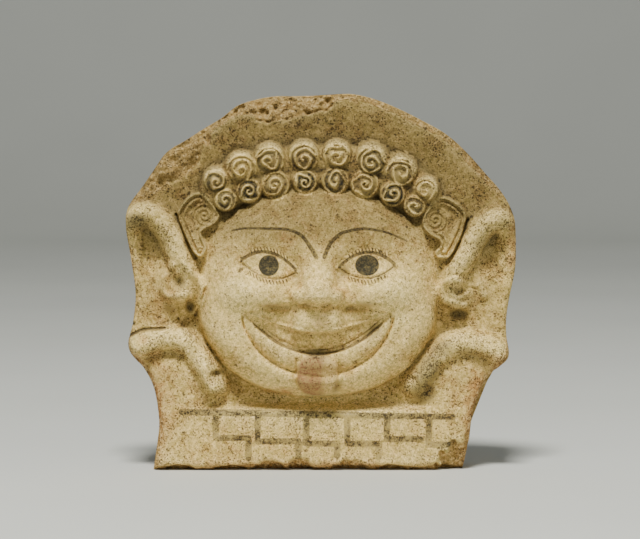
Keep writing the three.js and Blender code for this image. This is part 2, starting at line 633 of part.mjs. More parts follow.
// Corners along the four edges, in order round the plate
function edgeRing(used) {
  const ring = [];
  for (let i = 0; i < fineCells; i += 1) {
    ring.push([i, 0]);
  }
  for (let i = 0; i < fineCells; i += 1) {
    ring.push([fineCells, i]);
  }
  for (let i = fineCells; i > 0; i -= 1) {
    ring.push([i, fineCells]);
  }
  for (let i = fineCells; i > 0; i -= 1) {
    ring.push([0, i]);
  }
  return ring.filter(([i, j]) => used.has(i * (fineCells + 1) + j)).map(([i, j]) => corner(i, j));
}

// The closed plate: relief front, straight edge and flat back
function plateGeometry() {
  const sizes = planCells();
  const used = usedCorners(sizes);
  const triangles = frontTriangles(sizes, used);
  const ring = edgeRing(used);
  const back = ring.map((point) => new THREE.Vector3(point.x, 0, point.z));
  ring.forEach((point, i) => {
    const next = (i + 1) % ring.length;
    triangles.push([point, back[i], ring[next]], [ring[next], back[i], back[next]]);
  });
  const flat = back.map((point) => new THREE.Vector2(point.x, point.z));
  for (const [a, b, c] of THREE.ShapeUtils.triangulateShape(flat, [])) {
    triangles.push([back[a], back[c], back[b]]);
  }
  return new THREE.BufferGeometry().setFromPoints(triangles.flat());
}

// One curl: a round knob, turned about its middle, with its root inside the plate
function curlGeometry([x, z, width]) {
  const radius = (width / 2) * curl.swell;
  const profile = [new THREE.Vector2(0, -curl.root), new THREE.Vector2(radius, -curl.root)];
  for (let i = 0; i <= curl.steps; i += 1) {
    const angle = (i / curl.steps) * (Math.PI / 2);
    const out = i < curl.steps ? Math.cos(angle) ** (2 / curl.roundness) : 0;
    profile.push(new THREE.Vector2(radius * out, curl.height * Math.sin(angle) ** (2 / curl.roundness)));
  }
  const knob = new THREE.LatheGeometry(profile, curl.sides).rotateX(Math.PI);
  return knob.translate(x * stretchAcross, -curl.seat, z * stretchUp);
}

const wasm = await Module();
wasm.setup();

// A closed mesh as a solid that can be joined
function solid(geometry) {
  geometry.deleteAttribute('normal');
  geometry.deleteAttribute('uv');
  const merged = mergeVertices(geometry, 1e-4);
  const kept = [];
  const index = merged.index.array;
  for (let i = 0; i < index.length; i += 3) {
    const [a, b, c] = [index[i], index[i + 1], index[i + 2]];
    if (a !== b && b !== c && c !== a) {
      kept.push(a, b, c);
    }
  }
  return new wasm.Manifold(new wasm.Mesh({
    numProp: 3,
    vertProperties: new Float32Array(merged.attributes.position.array),
    triVerts: new Uint32Array(kept),
  }));
}

// The plate and its curls joined, with the origin on the ground under the middle of the box
function antefixGeometry() {
  let body = solid(plateGeometry());
  for (const place of [...upperCurls, ...lowerCurls]) {
    body = body.add(solid(curlGeometry(place)));
  }
  const mesh = body.getMesh();
  const geometry = new THREE.BufferGeometry();
  geometry.setAttribute('position', new THREE.BufferAttribute(mesh.vertProperties, 3));
  geometry.setIndex(new THREE.BufferAttribute(mesh.triVerts, 1));
  geometry.computeBoundingBox();
  const { min, max } = geometry.boundingBox;
  geometry.translate(-(min.x + max.x) / 2, -(min.y + max.y) / 2, -min.z);
  geometry.computeVertexNormals();
  return geometry;
}

const terracotta = new THREE.MeshStandardMaterial({ color: 0xc1aa77, roughness: 0.92, metalness: 0 });
const antefix = new THREE.Mesh(antefixGeometry(), terracotta);
antefix.name = 'antefix';

const model = new THREE.Group();
model.add(antefix);

export default model;
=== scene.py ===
# Gorgon antefix: a fired-clay roof end plate, pressed in a mould, painted and weathered.
# Sizes are in millimetres on the plate: x across, z up, depth forward of the flat back.
import math

import bpy
import numpy as np
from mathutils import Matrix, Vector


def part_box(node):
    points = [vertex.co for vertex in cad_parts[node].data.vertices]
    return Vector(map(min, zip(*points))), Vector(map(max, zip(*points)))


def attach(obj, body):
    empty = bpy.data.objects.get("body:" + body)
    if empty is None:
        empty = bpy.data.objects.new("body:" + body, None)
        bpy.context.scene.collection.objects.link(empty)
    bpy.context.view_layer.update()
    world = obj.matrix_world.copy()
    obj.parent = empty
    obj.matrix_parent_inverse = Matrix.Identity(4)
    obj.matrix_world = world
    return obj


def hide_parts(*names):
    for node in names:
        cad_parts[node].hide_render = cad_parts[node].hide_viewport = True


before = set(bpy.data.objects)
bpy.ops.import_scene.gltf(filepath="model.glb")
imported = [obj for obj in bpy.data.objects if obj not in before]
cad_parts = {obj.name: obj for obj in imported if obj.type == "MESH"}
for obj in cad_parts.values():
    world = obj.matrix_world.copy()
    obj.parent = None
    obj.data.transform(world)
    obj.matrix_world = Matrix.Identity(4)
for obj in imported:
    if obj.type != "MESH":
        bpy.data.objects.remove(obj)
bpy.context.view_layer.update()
mm = 0.001

# Outline of the plate: both sides from the foot to the shoulder, and the arch between them
outline = {
    "left": [(-95, 0), (-92.5, 17), (-91.7, 29), (-94.4, 45.6), (-100.3, 57), (-106.4, 63.6), (-109.2, 71.5),
        (-106.6, 84), (-105.2, 100), (-107.4, 118), (-110.2, 137), (-108.8, 149), (-102.4, 158.6),
        (-95.6, 167.6)],
    "right": [(80.5, 0), (83.5, 14), (85.6, 32), (88.6, 41), (93.5, 51), (101.1, 59), (106.3, 65), (105.3, 76),
        (105.3, 86), (107, 98), (110.2, 116), (109.9, 138), (107, 149), (101.1, 158.6), (93.1, 167.6)],
    "arch": [(-95.6, 167.6), (-88, 179), (-77.5, 185.7), (-66, 193), (-55.5, 199.4), (-47.9, 205.5),
        (-38, 208.8), (-25, 211), (-7, 210.6), (6, 211.8), (17, 212.3), (30, 209.5), (44, 204), (58, 197),
        (72, 189), (84, 178), (93.1, 167.6)],
}


def ease(low, high, value):
    t = np.clip((value - low) / (high - low), 0, 1)
    return t * t * (3 - 2 * t)


def bump(distance, halfWidth):
    t = np.clip(np.abs(distance) / halfWidth, 0, 1)
    return (1 - t * t) ** 2


def roundTop(distance, halfWidth, power=2.0):
    t = np.clip(np.abs(distance) / halfWidth, 0, 1)
    return (1 - t ** power) ** (1 / power)


def blendMax(a, b, fillet):
    share = np.clip(0.5 + 0.5 * (a - b) / fillet, 0, 1)
    return b + (a - b) * share + fillet * share * (1 - share)


def ovalBump(x, z, place, size, turn=0):
    c, s = math.cos(math.radians(turn)), math.sin(math.radians(turn))
    across = ((x - place[0]) * c + (z - place[1]) * s) / size[0]
    up = ((z - place[1]) * c - (x - place[0]) * s) / size[1]
    return bump(np.hypot(across, up), 1)


def sumOvals(x, z, ovals):  # oval lumps and hollows added up: place, size, turn, rise
    return sum(rise * ovalBump(x, z, place, size, turn) for place, size, turn, rise in ovals)


def topOvals(x, z, ovals):  # the strongest of the oval patches: place, size, turn, strength
    return np.max([strength * ovalBump(x, z, place, size, turn) for place, size, turn, strength in ovals], axis=0)


def grain(x, z, size, seed):  # soft random lumps, between about -0.5 and 0.5
    def knot(i, j):
        wave = np.sin(i * 127.1 + j * 311.7 + seed * 74.7) * 43758.5453
        return wave - np.floor(wave) - 0.5

    i, j = np.floor(x / size), np.floor(z / size)
    u, v = ease(0, 1, x / size - i), ease(0, 1, z / size - j)
    low = knot(i, j) * (1 - u) + knot(i + 1, j) * u
    high = knot(i, j + 1) * (1 - u) + knot(i + 1, j + 1) * u
    return low * (1 - v) + high * v


def roughGrain(x, z, size, seed):
    return grain(x, z, size, seed) + grain(x, z, size / 2, seed + 1) / 2 + grain(x, z, size / 4, seed + 2) / 4


def splinePoints(points, closed=False, stepLength=1.5):  # smooth line through the points
    pts = np.array(points, float)
    count = len(pts) if closed else len(pts) - 1
    out = []
    for i in range(count):
        if closed:
            p0, p1, p2, p3 = (pts[(i + k) % len(pts)] for k in (-1, 0, 1, 2))
        else:
            p0, p1, p2, p3 = (pts[min(max(i + k, 0), len(pts) - 1)] for k in (-1, 0, 1, 2))
        steps = max(2, math.ceil(np.hypot(*(p2 - p1)) / stepLength))
        t = np.arange(steps)[:, None] / steps
        out.append(p1 + (p2 - p0) / 2 * t + (p0 - 2.5 * p1 + 2 * p2 - p3 / 2) * t ** 2
                   + (1.5 * p1 - p0 / 2 - 1.5 * p2 + p3 / 2) * t ** 3)
    out.append(pts[:1] if closed else pts[-1:])
    return np.vstack(out)


def lineDistance(x, z, line, reach=None):  # distance to a line, and the share of it passed there
    best, along, near = np.full(x.shape, 1e6), np.zeros(x.shape), np.ones(x.shape, bool)
    if reach is not None:
        low, high = line.min(0) - reach, line.max(0) + reach
        near = (x > low[0]) & (x < high[0]) & (z > low[1]) & (z < high[1])
    px, pz = x[near], z[near]
    squared, share = np.full(px.shape, 1e12), np.zeros(px.shape)
    for i, (a, b) in enumerate(zip(line[:-1], line[1:])):
        step = b - a
        t = np.clip(((px - a[0]) * step[0] + (pz - a[1]) * step[1]) / max(step @ step, 1e-9), 0, 1)
        gap = (px - a[0] - t * step[0]) ** 2 + (pz - a[1] - t * step[1]) ** 2
        share = np.where(gap < squared, (i + t) / (len(line) - 1), share)
        squared = np.minimum(gap, squared)
    best[near] = np.sqrt(squared)
    along[near] = share
    return best, along


def splineDistance(x, z, points, reach, stepLength=1.5):  # the same for a smooth line through points
    return lineDistance(x, z, splinePoints(points, stepLength=stepLength), reach)


def insideDistance(x, z, line, reach=None):  # distance to a closed line, positive inside
    inside = np.zeros(x.shape, bool)
    for (ax, az), (bx, bz) in zip(line[:-1], line[1:]):
        if az != bz:
            inside ^= ((az > z) != (bz > z)) & (x < (bx - ax) * (z - az) / (bz - az) + ax)
    return lineDistance(x, z, line, reach)[0] * np.where(inside, 1, -1)


edgeLines = {name: splinePoints(points, stepLength=0.5) for name, points in outline.items()}
rimLine = np.vstack([splinePoints(outline["left"], stepLength=3), splinePoints(outline["arch"], stepLength=3),
                     splinePoints(outline["right"], stepLength=3)[::-1], [outline["left"][0]]])


def edgePlace(name, share):  # place on one edge for a share of its length
    line = edgeLines[name]
    run = np.concatenate([[0], np.cumsum(np.hypot(*np.diff(line, axis=0).T))])
    return np.stack([np.interp(share * run[-1], run, line[:, axis]) for axis in (0, 1)], -1)


def platePlace(u, v):  # shares across and up, stretched between the four edges
    u, v = u[:, None], v[:, None]
    footLeft, footRight, archLeft, archRight = (
        np.array(outline[side][end]) for side, end in (("left", 0), ("right", 0), ("arch", 0), ("arch", -1)))
    place = (1 - v) * (footLeft + (footRight - footLeft) * u) + v * edgePlace("arch", u[:, 0])
    place += (1 - u) * edgePlace("left", v[:, 0]) + u * edgePlace("right", v[:, 0])
    place -= (1 - u) * (1 - v) * footLeft + u * (1 - v) * footRight + (1 - u) * v * archLeft + u * v * archRight
    return place.T


# The plate without its figures
plate = {
    "field": 24, "band": 36, "bandTop": 33.5, "ledge": 5, "flankGain": 9, "footGain": 2, "rimGain": 2.6,
    "swells": [((84, 106), (22, 24), 0, 3), ((58, 126), (26, 36), 0, 10)],   # on both sides of the face
    "scar": {"x": -5, "halfWidth": 72, "top": 96, "wall": 15, "depth": 1.4},   # where the cover tile broke off
}


def plateDepth(x, z, fromEdge):  # the field, the band at the foot and the rim
    side = np.abs(x - face["x"])
    depth = plate["field"] + plate["flankGain"] * ease(40, 75, side) * ease(78, 36, z)
    depth += plate["footGain"] * ease(60, 36, z)
    depth += (plate["band"] - depth) * ease(plate["bandTop"] + plate["ledge"] - 0.5, plate["bandTop"] - 0.5, z)
    return depth + sumOvals(side, z, plate["swells"]) \
        + plate["rimGain"] * ease(24, 3, fromEdge) * ease(120, 150, z)


# Face: full dome with a rounded jaw, wide nose and a grin with the tongue out
face = {
    "x": -1.9, "z": 97, "halfWidth": 68, "below": 56, "above": 64, "power": 2.2,
    "span": 60,   # from the middle to the rim
    "rim": 21, "dome": 3, "rounding": 3.4, "fullness": 0.52, "fillet": 1.8, "softFillet": 12,
    "channel": {"depth": 2.6, "away": 2.5, "halfWidth": 9},   # the hollow under the jaw
    "swells": [   # brow ridge, eye socket, hollow beside the nose and cheek, on both sides
        ((27, 138), (32, 10), 0, 1.4), ((27.4, 116.8), (24, 15), 0, -3.4),
        ((13.5, 114), (7, 11), 0, -2.6), ((36, 103), (25, 17), 0, 5.5),
    ],
    "eyes": {"x": (-29.2, 25.8), "slant": (-3, 0.6), "z": 116.6, "halfWidth": 15.8, "upper": 7.6, "lower": 6.4,
             "bulge": 3, "lid": 0.9},
    "noseBridge": {"halfWidth": 8, "spread": 3.4, "top": 137, "tip": 104, "foot": 94, "rise": 10.5},
    "noseTip": {"z": 103, "halfWidth": 10.5, "halfHeight": 8.8, "rise": 12},
    "nostril": {"x": 9.8, "z": 100.6, "halfWidth": 5.8, "halfHeight": 5.4, "rise": 8},
    "jaw": {"radius": 0.86, "halfWidth": 0.17, "rise": 2.6, "top": 96, "blend": 26},
    "mouth": {"halfWidth": 42, "upperZ": 79.7, "upperLift": 11.8, "lowerZ": 67, "lowerLift": 23.5,
              "chinZ": 55, "chinLift": 39.5, "corner": 0.86},
    "lip": {"drop": 3.2, "fold": 2.6, "opening": 2.8, "bowl": 2.8, "roll": 2, "groove": 1.2, "inner": 0.9,
            "second": 0.5, "secondDrop": 2.3, "upperRidge": 1.4, "top": 94.5, "middle": 16, "middleRise": 3},
    "teeth": {"width": 7, "rise": 0.7},
    "tongue": {"z": 54.6, "halfWidth": 11.6, "halfLength": 12.3, "power": 2.6, "rise": 3.8},
}


def faceRadius(x, z):
    across = np.abs(x - face["x"]) / face["halfWidth"]
    up = np.abs(z - face["z"]) / np.where(z < face["z"], face["below"], face["above"])
    return (across ** face["power"] + up ** face["power"]) ** (1 / face["power"])


def faceDome(radius):
    inside = np.clip(radius, 0, 1)
    dome = plate["field"] + face["rim"] * (1 - inside ** face["rounding"]) ** face["fullness"]
    dome += face["dome"] * (1 - inside ** 2)
    return np.where(radius > 1, plate["field"] - face["span"] * (radius - 1), dome)


def eachEye(x):  # for both eyes: middle, place across, upper and lower lid line
    eye = face["eyes"]
    for middle, slant in zip(eye["x"], eye["slant"]):
        across = (x - middle) / eye["halfWidth"]
        arch = 1 - np.minimum(np.abs(across), 1.3) ** 2
        level = eye["z"] + slant * np.clip(across, -1.1, 1.1)
        yield middle, across, level + eye["upper"] * arch, level - eye["lower"] * arch


def mouthLines(x):
    mouth = face["mouth"]
    across = np.minimum(np.abs(x - face["x"]) / mouth["halfWidth"], 1.3)
    upper = mouth["upperZ"] + mouth["upperLift"] * across ** 1.8
    lower = mouth["lowerZ"] + mouth["lowerLift"] * across ** 2.05
    groove = mouth["chinZ"] + mouth["chinLift"] * (1 - np.sqrt(np.clip(1 - (across / 1.03) ** 2, 0, 1)))
    return across, upper, lower, groove


def eyeRelief(x, z):
    relief = np.zeros(x.shape)
    for _, across, upper, lower in eachEye(x):
        across = np.abs(across)
        within = ease(lower - 0.5, lower + 1, z) * ease(upper + 0.5, upper - 1, z) * ease(1, 0.93, across)
        ball = roundTop(np.hypot(across / 1.05, (z - (upper + lower) / 2) / 7.4), 1)
        lids = bump(z - upper - 0.9, 1.5) + 0.8 * bump(z - lower + 0.9, 1.4)
        relief += face["eyes"]["bulge"] * within * ball + face["eyes"]["lid"] * lids * ease(1.18, 1, across)
    return relief


def noseRelief(x, z):
    side = np.abs(x - face["x"])
    bridge, tip, wing = face["noseBridge"], face["noseTip"], face["nostril"]
    halfWidth = bridge["halfWidth"] + bridge["spread"] * ease(bridge["tip"] + 26, bridge["tip"], z)
    rise = bridge["rise"] * ease(bridge["top"], bridge["tip"], z) * ease(bridge["foot"], bridge["foot"] + 6, z)
    middle = tip["rise"] * roundTop(np.hypot(side / tip["halfWidth"], (z - tip["z"]) / tip["halfHeight"]), 1)
    middle = blendMax(rise * roundTop(side, halfWidth), middle, 4)
    wings = np.hypot((side - wing["x"]) / wing["halfWidth"], (z - wing["z"]) / wing["halfHeight"])
    return blendMax(middle, wing["rise"] * roundTop(wings, 1), 6)


def mouthRelief(x, z):
    lip, mouth, corner = face["lip"], face["mouth"], face["mouth"]["corner"]
    across, upper, lower, groove = mouthLines(x)
    side, lean = across * mouth["halfWidth"], np.hypot(1, 1.2 * across)
    under = ease(lip["top"] + 2.5, lip["top"] - 2.5, z) * ease(upper - 2, upper + 1, z) * ease(1, 0.45, across)
    middle = ease(lip["middle"] + 1.5, lip["middle"] - 7, side)
    relief = under * (lip["middleRise"] * middle - lip["drop"] * (1 - middle))
    relief -= lip["fold"] * bump(z - lip["top"] + 1, 3) * ease(0.3, 0.42, across) * ease(0.95, 0.6, across)
    opening = ease(upper + 0.8, upper - 1, z) * ease(lower - 0.8, lower + 1.2, z)
    opening *= ease(corner + 0.1, corner - 0.2, across)
    bowl = ease(groove - 5, groove + 3, z) * ease(upper + 5, upper - 3, z) * ease(1.14, 0.94, across)
    relief -= lip["opening"] * opening + lip["bowl"] * bowl
    roll = roundTop(z - (lower + groove) / 2, np.maximum((lower - groove) / 2, 1))
    relief += lip["roll"] * roll * ease(1.06, 0.96, across)
    # the groove round the lip, the edge of the opening and a fine line above it
    besideTongue = ease(1.05, 0.99, across) * ease(0.24, 0.3, across)
    relief -= lip["groove"] * bump((z - groove) / lean, 2.1) * besideTongue
    relief -= lip["inner"] * bump((z - lower) / lean, 1.2) * ease(corner + 0.04, corner - 0.06, across)
    second = bump((z - lower) / lean - lip["secondDrop"], 0.9)
    relief -= lip["second"] * second * ease(corner, corner - 0.1, across)
    ridge = bump(z - upper - 0.6, 1.6) * ease(0.96, 0.86, across) * ease(0.16, 0.26, across)
    tooth = np.sqrt(0.5 + 0.5 * np.cos((x - face["x"]) * 2 * np.pi / face["teeth"]["width"]))
    teeth = opening * tooth * ease(lower + 0.5, lower + 3, z)
    return relief + lip["upperRidge"] * ridge + face["teeth"]["rise"] * teeth


def tongueReach(x, z):  # 1 at the edge of the tongue
    tongue = face["tongue"]
    across, along = np.abs(x - face["x"]) / tongue["halfWidth"], np.abs(z - tongue["z"]) / tongue["halfLength"]
    return (across ** tongue["power"] + along ** tongue["power"]) ** (1 / tongue["power"])


def faceDepth(x, z, fromEdge):  # the plate with the face on it
    radius, jaw, hollow = faceRadius(x, z), face["jaw"], face["channel"]
    features = sumOvals(np.abs(x - face["x"]), z, face["swells"])
    features += eyeRelief(x, z) + noseRelief(x, z) + mouthRelief(x, z)
    features += face["tongue"]["rise"] * roundTop(tongueReach(x, z), 1, 3)
    features += jaw["rise"] * bump(radius - jaw["radius"], jaw["halfWidth"]) \
        * ease(jaw["top"], jaw["top"] - jaw["blend"], z)
    channel = bump((radius - 1) * face["span"] - hollow["away"], hollow["halfWidth"])
    channel *= ease(104, 72, z) * ease(30, 40, z)
    return blendMax(plateDepth(x, z, fromEdge) - hollow["depth"] * channel,
                    faceDome(radius) + features * ease(1.03, 0.97, radius),
                    face["fillet"] + face["softFillet"] * ease(84, 112, z))


# Snakes: the line of each back from the plate's edge to the head, then the lumps and hollows on them
snakes = {
    "upperLeft": {"spine": [(-110.3, 104.9), (-110.3, 117.9), (-109.8, 130.3), (-107.5, 139.4), (-102.4, 144.5),
        (-95.6, 144.2), (-89.4, 139.9), (-84.9, 133.7), (-82.1, 126.9), (-79.6, 120.5), (-77.6, 115),
        (-76.5, 108), (-76, 101)], "halfWidth": 8.8, "rise": 10.5, "tail": (0.22, 0.42), "tailShare": 0.08},
    "upperRight": {"spine": [(108.4, 104.9), (107.8, 117.9), (107.8, 129.2), (105.6, 137.7), (100.5, 141.6),
        (94.8, 140.5), (89.8, 136), (85.8, 130.3), (82.4, 124.1), (78.6, 118), (75.4, 113), (74.2, 107),
        (73.8, 101)], "halfWidth": 8.4, "rise": 10.5, "tail": (0.26, 0.46), "tailShare": 0.08},
    "lowerLeft": {"spine": [(-103, 70.6), (-96.8, 72.4), (-88.3, 74.4), (-80.4, 73.8), (-74.2, 70.4),
        (-69.6, 64.8), (-66.2, 60), (-62.8, 54.6), (-60, 49.5)], "halfWidth": 8.6, "rise": 11, "tail": (0, 0.1),
        "tailShare": 1},
    "lowerRight": {"spine": [(102.8, 62.7), (98.8, 68.4), (92, 71.5), (84.1, 72.3), (76.2, 71.2), (70, 67.8),
        (64.3, 63.3), (60, 58.5), (55.8, 53.6), (51.8, 49)], "halfWidth": 8.2, "rise": 10.5, "tail": (0, 0.1),
        "tailShare": 1},
}
skirt = {"reach": 1.7, "share": 0.18}   # the clay drawn up softly to each snake
headFall = {"from": 0.74, "share": 0.65}   # how a body sinks towards its head
hoops = [  # place, size, turn, rise
    ((-96.5, 126), (11, 18), 0, -3), ((95.5, 124.5), (11, 18), 0, -3.4),
    ((-84, 59), (22, 14), -20, 4), ((78, 59), (24, 14), 20, 4),
]
headLumps = [
    ((-77, 102), (15, 17), 0, 4.2), ((-80.4, 107.2), (5.2, 6), 0, -4.2), ((-74.2, 93), (3.6, 5.4), 0, -4.4),
    ((76, 100), (15, 17), 0, 4.2), ((78.4, 102.1), (5.4, 4.2), 0, -4), ((77.9, 87.9), (8, 4.2), 0, -4.2),
    ((65.5, 89.1), (3, 5), 0, -1.6), ((67.6, 99.4), (5, 7), 0, 1.6),
    ((-61, 53), (15, 17), 0, 5), ((-58.9, 55.2), (3.8, 2.6), 0, -3.8), ((-57.8, 47.8), (7, 4.8), 8, 2.6),
    ((54, 51), (16, 15), 20, 4.8), ((51.9, 51.8), (2.6, 2.4), 0, -2),
    ((-100.7, 63.8), (9, 3.4), 0, -2.4), ((-100.7, 73.8), (3.6, 3.4), 0, -1),
]
creases = [   # line, half width, rise
    ([(-77.5, 117.9), (-73.6, 113.4), (-69.6, 108.9), (-66.9, 103.2), (-67.4, 97.6), (-70, 92.5)], 3.4, 2.4),
    ([(-65.2, 103.5), (-66.8, 98), (-68.6, 93), (-71.2, 87.5)], 1.2, -2),
    ([(-87.7, 98.7), (-82.6, 98.1), (-76.4, 99.2)], 3.8, 2.8),
    ([(-84.9, 115.6), (-88.3, 110), (-89.4, 102.1)], 3.8, 2),
    ([(-66.6, 58), (-65, 51), (-61, 46), (-54.5, 44.6)], 2.8, 2),
    ([(66.5, 100.5), (67, 103.6), (69, 106.3), (72.8, 107.8), (77.9, 107.7)], 3.4, 2.2),
    ([(68.6, 96.8), (70.9, 95.2), (75.6, 94), (81.3, 93.4)], 3.2, 2.6),
    ([(83, 103.8), (88.1, 102.6)], 0.9, -1), ([(86.4, 112.2), (89.8, 106.6), (92.6, 98.7)], 4, 1.8),
    ([(-64, 60.8), (-61.2, 62.5), (-58.3, 60.3)], 1.4, 1.1), ([(-56.6, 59.1), (-55.5, 54.6)], 1.1, -1.4),
    ([(-65.1, 53.5), (-63.4, 48.9)], 1.8, 1.2), ([(54.1, 54.6), (56.4, 49.5)], 1.2, 0.9),
    ([(-43.6, 81.7), (-44.2, 85.7), (-42.5, 89.6), (-39.1, 91.6), (-34, 91)], 1.2, -1),
    ([(39.8, 81.7), (40.4, 85.7), (38.7, 89.6), (35.3, 91.6), (30.2, 91)], 1.2, -1),
    ([(-13.9, 64.5), (-13.6, 56), (-12.6, 48.5), (-9.5, 44)], 1, -1),
    ([(9.8, 62), (9.9, 55), (8.2, 47.5)], 1, -0.7),
    ([(-81.9, 144), (-79.6, 138.6), (-76.8, 132), (-74.4, 125.8), (-71.3, 120.3)], 1.7, -3.6),
    ([(83, 141.1), (80.7, 135.2), (77.9, 128.6), (74.9, 123), (71.1, 117.9)], 1.7, -3.6),
]


def addSnakes(depth, plateOnly, x, z):
    for snake in snakes.values():
        width = snake["halfWidth"]
        distance, along = splineDistance(x, z, snake["spine"], width * skirt["reach"], 2.5)
        rise = snake["rise"] * (snake["tailShare"] + (1 - snake["tailShare"]) * ease(*snake["tail"], along))
        rise *= 1 - headFall["share"] * ease(headFall["from"], 1, along)
        onFace = ease(0.96, 1.02, faceRadius(x, z))
        depth = depth + skirt["share"] * rise * bump(distance, width * skirt["reach"]) * onFace
        back = np.minimum(plateOnly, 33) - 4 + (rise + 4) * roundTop(distance, width)
        depth = np.where(distance < width, blendMax(depth, back, 5), depth)
    return depth + sumOvals(x, z, headLumps)


def addCreases(depth, x, z):
    for line, halfWidth, rise in creases:
        depth = depth + rise * bump(splineDistance(x, z, line, halfWidth)[0], halfWidth)
    return depth


# Ears: drawn round the edge of shell and lobe
ears = {
    "left": {"edge": [(-81.7, 144.2), (-79.4, 150.1), (-74.6, 155.5), (-68.7, 157.6), (-64.8, 155.8),
        (-61.4, 151.8), (-58.3, 147.9), (-56.2, 144.5), (-58.6, 140.2), (-62.9, 137.4), (-66.8, 134.9),
        (-65.1, 129.9), (-63.8, 126.1), (-65.4, 122.1), (-68.3, 120.8), (-71.7, 122.8), (-75.2, 129.3),
        (-78.8, 137.1)], "shell": (-65.6, 144.4), "lobe": (-68.2, 125), "side": -1},
    "right": {"edge": [(64.5, 153.8), (59.8, 148.4), (56.7, 142.2), (57.3, 137.1), (60.9, 133.4), (66.2, 130.3),
        (66.6, 127.2), (64, 124.1), (64.7, 121), (68.6, 119.6), (72.2, 120.4), (75.8, 125.2), (79.8, 132.9),
        (82.3, 140), (82.3, 145), (78.7, 150.2), (72.8, 154.1), (68.6, 155.1)], "shell": (64.6, 141.6),
        "lobe": (68.2, 123.8), "side": 1},
    "lift": 4.2, "rims": ((1.1, 1.2, 1.5), (2.7, 0.9, -0.8), (4.1, 0.9, 0.6)),   # inset, half width, rise
    "dish": 1.4, "whorl": 1.2, "whorlPitch": 2.7, "whorlReach": 7.2,
    "curl": 0.9, "curlPitch": 2.6, "curlReach": 3.6,
    "fadeFrom": -4, "fadeTo": -12, "kept": 0.3,
}


def insideEar(x, z, ear):  # distance in from the edge of the ear
    return insideDistance(x, z, splinePoints(ear["edge"], True, 2), 3)


def earRelief(x, z, ear):
    inside = insideEar(x, z, ear)
    waver = 0.2 * grain(x, z, 5, 90)

    def swirl(middle, pitch, turn, power):  # distance from the middle, and ridges winding round it
        dx, dz = x - ear[middle][0], z - ear[middle][1]
        out = np.hypot(dx, dz)
        phase = out / pitch + turn * np.arctan2(dz, dx) * ear["side"] / (2 * np.pi) + waver
        return out, (0.5 + 0.5 * np.cos(2 * np.pi * phase)) ** power

    toShell, whorl = swirl("shell", ears["whorlPitch"], 1, 1.5)
    toLobe, curl = swirl("lobe", ears["curlPitch"], -1, 1.6)
    relief = ears["lift"] * ease(-0.6, 1.2, inside)
    for inset, halfWidth, rise in ears["rims"]:
        relief += rise * bump(inside - inset, halfWidth) * (1 if inset < 2 else ease(5, 7, toShell))
    inWhorl = ease(ears["whorlReach"] + 1, ears["whorlReach"] - 1, toShell) * ease(2.4, 3.6, inside)
    inLobe = ease(ears["curlReach"], ears["curlReach"] - 1.2, toLobe) * ease(0.4, 1.4, inside)
    relief -= ears["dish"] * np.maximum(inWhorl, ease(4.6, 6.5, inside) * ease(15, 10, toShell))
    relief += ears["whorl"] * whorl * inWhorl + ears["curl"] * curl * inLobe
    kept = ease(ears["fadeTo"], ears["fadeFrom"], (x - ear["shell"][0]) * ear["side"])
    return np.where(inside > -1, relief * (ears["kept"] + (1 - ears["kept"]) * kept), 0)


# Hair: two rows of round curls, each a knob with a sunken spiral; place and diameter
curls = {
    "upper": [(-59, 164.8, 13.7), (-44.7, 171.5, 17.4), (-29, 176.3, 17), (-9.7, 177.9, 16.6), (9, 178.8, 15.5),
        (28.3, 176, 17.6), (45, 169.5, 17.6), (58.8, 159.7, 14)],
    "lower": [(-53.7, 153.4, 12.2), (-40.5, 158.6, 13.7), (-25.8, 162, 15.9), (-9, 163.5, 13.4), (8, 164, 15.2),
        (24.7, 162.3, 15.7), (40.4, 156.8, 14), (52.7, 150.1, 12)],
    "mass": {"line": [(-56, 159), (-42.5, 165), (-27.4, 169.2), (-9.4, 170.7), (8.5, 171.4), (26.5, 169.2),
        (42.7, 163.2), (55.7, 155)], "halfWidth": 13, "depth": 33.5},
    "seat": 27, "height": 11.2, "power": 2.5, "swell": 1.18, "sink": 1.5, "ridge": 1.7,
    "ridgePower": 2.8, "pitch": 3.8, "discShare": 0.78, "upperDrop": 1.5, "lowerDrop": 0.2, "waver": 0.7,
    "rim": 0.35, "fillet": 1.6,
}


def eachCurl():  # number in its row, whether it is in the upper row, and its place and diameter
    for isUpper, row in ((True, curls["upper"]), (False, curls["lower"])):
        for index, curl in enumerate(row):
            yield index, isUpper, curl


def curlDisc(x, z, index, isUpper, curl):  # where the spiral is sunk into a curl, and how far out in it
    dx, dz = x - curl[0], z - curl[1] + (curls["upperDrop"] if isUpper else curls["lowerDrop"])
    out = np.hypot(dx, dz)
    radius = curl[2] / 2 * curls["swell"] * curls["discShare"]
    way = 1 if (index + isUpper) % 2 else -1
    waver = curls["waver"] * grain(x, z, 4.4, 80 + index + 20 * isUpper)
    phase = out / curls["pitch"] - np.arctan2(dz, dx) * way / (2 * np.pi) + waver + 0.37 * index
    ridge = (0.5 + 0.5 * np.cos(2 * np.pi * phase)) ** curls["ridgePower"]
    return ease(radius + 0.4, radius - 1.2, out), ridge, out - radius


